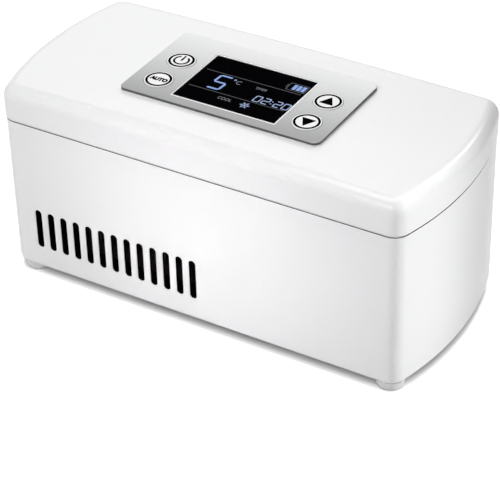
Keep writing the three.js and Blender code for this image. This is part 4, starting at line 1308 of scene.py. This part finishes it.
wheel = [stack(circle(VENT_X, 0, HUB_RADIUS), [
    (HUB_RADIUS - AXLE_RADIUS, fan_low),
    (HUB_RADIUS - AXLE_RADIUS, fan_high - HUB_WALL),
    (HUB_WALL, fan_high - HUB_WALL),
    (HUB_WALL, hub_low),
    (0, hub_low),
    *rounded(hub_low + HUB_STEP, fan_high, high=HUB_EDGE),
])]
for i in range(BLADE_COUNT):
    rings = []
    for j in range(BLADE_SPANS + 1):
        share = j / BLADE_SPANS
        reach = between((BLADE_ROOT, BLADE_TIP), share)
        ring = []
        for travel, rise in blade_section(share):
            turn = 2 * math.pi * i / BLADE_COUNT + travel / reach
            height = max(min(blade_middle + rise, fan_high), hub_low)
            ring.append((VENT_X + reach * math.cos(turn), reach * math.sin(turn), height))
        rings.append(ring)
    wheel.append(rings)
dress(smooth(solids("fan_wheel", wheel)), "fan", "black_plastic", "fan_rotor")

# Solids that keep their own shape, by finish
KEPT = {
    "black_plastic": [
        "fan_frame", "battery_cradle", "battery_lead", "battery_plug", "power_inductor", "control_chip",
        "display_module", *(f"{key}_switch" for key in KEYS),
    ],
    "steel": ["inlet_nut", "clamp_screw_left", "clamp_screw_right"],
    "alloy": ["cold_block", "filter_capacitor"],
    "black_alloy": ["heat_sink"],
    "ceramic": ["peltier_module", "battery_socket"],
    "foam": ["insulation_tub", "lid_foam"],
    "board_green": ["main_board", "display_board"],
    "wrap_blue": ["battery_pack"],
}
for slot, nodes in KEPT.items():
    for node in nodes:
        materials = frame["nodes"][node].data.materials
        materials.clear()
        materials.append(FINISHES[slot])

# Floor and world: plain white to the eye, with the object's shadow kept on the floor
FLOOR_SIZE = 8000
FLOOR_SEEN = 0.5
FLOOR_MIRRORED = 0.36
FLOOR_BOUNCE = 0.27
WORLD_LIGHT = 0.04


def larger(owner, first, second):
    tree = owner.node_tree
    node = tree.nodes.new("ShaderNodeMath")
    node.operation = "MAXIMUM"
    tree.links.new(first, node.inputs[0])
    tree.links.new(second, node.inputs[1])
    return node.outputs["Value"]


def seen_ray(owner, mirrored=1.0):
    """One for rays from the camera or a clear material, mirrored for reflections, nought elsewhere."""
    path = owner.node_tree.nodes.new("ShaderNodeLightPath")
    mirror = spread(owner, path.outputs["Is Glossy Ray"], {"To Max": mirrored})
    seen = larger(owner, path.outputs["Is Camera Ray"], mirror)
    return larger(owner, seen, path.outputs["Is Transmission Ray"])


half = FLOOR_SIZE / 2
floor_corners = [(-half, -half, 0), (half, -half, 0), (half, half, 0), (-half, half, 0)]
floor = new_piece("floor", floor_corners, [(0, 1, 2, 3)])
floor_white = plain("floor white", (FLOOR_SEEN, FLOOR_SEEN, FLOOR_SEEN), 0.9, specular=0.0)
mirrored = (FLOOR_MIRRORED - FLOOR_BOUNCE) / (FLOOR_SEEN - FLOOR_BOUNCE)
feed(floor_white, spread(floor_white, seen_ray(floor_white, mirrored), {
    "To Min": FLOOR_BOUNCE, "To Max": FLOOR_SEEN,
}), "Base Color")
floor.data.materials.append(floor_white)

studio = bpy.data.worlds.new("studio")
bpy.context.scene.world = studio
studio.use_nodes = True
background = studio.node_tree.nodes["Background"]
fill(background, {"Color": (1.0, 1.0, 1.0, 1.0)})
sky_level = spread(studio, seen_ray(studio), {"To Min": WORLD_LIGHT, "To Max": 1.0})
studio.node_tree.links.new(sky_level, background.inputs["Strength"])


def receivers(name, state):
    """Set of things a lamp lights: only the floor, or all but the floor."""
    group = bpy.data.collections.new(name)
    group.objects.link(floor)
    group.collection_objects[0].light_linking.link_state = state
    return group


FLOOR_ALONE = receivers("floor alone", "INCLUDE")
ALL_BUT_FLOOR = receivers("all but the floor", "EXCLUDE")


def hang(name, lamp, place, target, lit):
    """Puts a lamp at a place, facing a target, in millimetres; it lights one set of things."""
    holder = add(name, lamp)
    holder.visible_camera = False
    holder.location = world(place)
    aim = world(target) - world(place)
    holder.rotation_euler = aim.to_track_quat("-Z", "Y").to_euler()
    holder.light_linking.receiver_collection = lit
    return holder


def softbox(name, place, target, size, power, beam=180, shine=True):
    """Area lamp; beam is its opening angle in degrees, and without shine no surface mirrors it."""
    lamp = bpy.data.lights.new(name, "AREA")
    lamp.shape = "RECTANGLE"
    lamp.size = size[0] * MM
    lamp.size_y = size[1] * MM
    lamp.energy = power
    lamp.spread = math.radians(beam)
    hang(name, lamp, place, target, ALL_BUT_FLOOR).visible_glossy = shine


# The floor's own suns, by azimuth and strength: a row from the camera's side, a weaker one from behind
SUN_WIDTH = 14
SUN_ELEVATIONS = (40, 57, 74)
SUN_ROWS = {"floor_near": (31.4, 2.68), "floor_far": (211.4, 0.9)}
for row, (azimuth, strength) in SUN_ROWS.items():
    for elevation in SUN_ELEVATIONS:
        sun = bpy.data.lights.new(f"{row}_{elevation}", "SUN")
        sun.energy = strength
        sun.angle = math.radians(SUN_WIDTH)
        turn = math.radians(azimuth)
        sun_place = Vector((math.sin(turn), -math.cos(turn), math.tan(math.radians(elevation))))
        hang(sun.name, sun, sun_place, (0, 0, 0), FLOOR_ALONE)

# Lamps on the case: broad lights, strips that its gloss mirrors, and narrow pools without shine
softbox("front", (0, -1065, 796), (0, 0, 50), (700, 500), 5.8)
softbox("front_left", (-480, -680, 890), (0, -45, 100), (900, 650), 1.7, shine=False)
softbox("lid_strip", (-480, -680, 890), (0, -45, 100), (900, 330), 1.0)
softbox("rear", (0, 610, 1198), (0, 0, 50), (700, 500), 0.3)
softbox("end_strip", (280, 720, 800), (105, 0, 100), (180, 500), 1.6)
softbox("back_fill", (-500, 1000, 400), (0, 50, 50), (600, 400), 1.1, shine=False)
softbox("top", (0, -60, 600), (0, 0, 104), (300, 300), 1.1)
softbox("panel_glow", (-110, 220, 240), (-20, 30, 104), (400, 120), 0.13)
softbox("front_pool", (-300, -1000, 300), (5, -50, 50), (100, 100), 0.018, beam=9, shine=False)
softbox("end_pool", (900, 400, 200), (105, -46, 58), (60, 200), 0.043, beam=8, shine=False)

# Camera: angles in radians, lens and sensor in millimetres, the end of its view in metres
CAMERA_AZIMUTH = 0.5473
CAMERA_ELEVATION = 0.6105
CAMERA_ROLL = -0.0258
CAMERA_DISTANCE = 944.9
CAMERA_TARGET = (-0.97, 0.0, 18.56)
CAMERA_LENS = 143.71
CAMERA_SENSOR = 36
CAMERA_END = 20

lens = bpy.data.cameras.new("camera")
lens.lens = CAMERA_LENS
lens.sensor_width = CAMERA_SENSOR
lens.clip_end = CAMERA_END
camera = add("camera", lens)
camera.matrix_world = (
    Matrix.Translation(world(CAMERA_TARGET))
    @ Matrix.Rotation(CAMERA_AZIMUTH, 4, "Z")
    @ Matrix.Rotation(math.pi / 2 - CAMERA_ELEVATION, 4, "X")
    @ Matrix.Rotation(CAMERA_ROLL, 4, "Z")
    @ Matrix.Translation((0, 0, CAMERA_DISTANCE * MM))
)
bpy.context.scene.camera = camera
bpy.context.scene.view_settings.view_transform = "Standard"
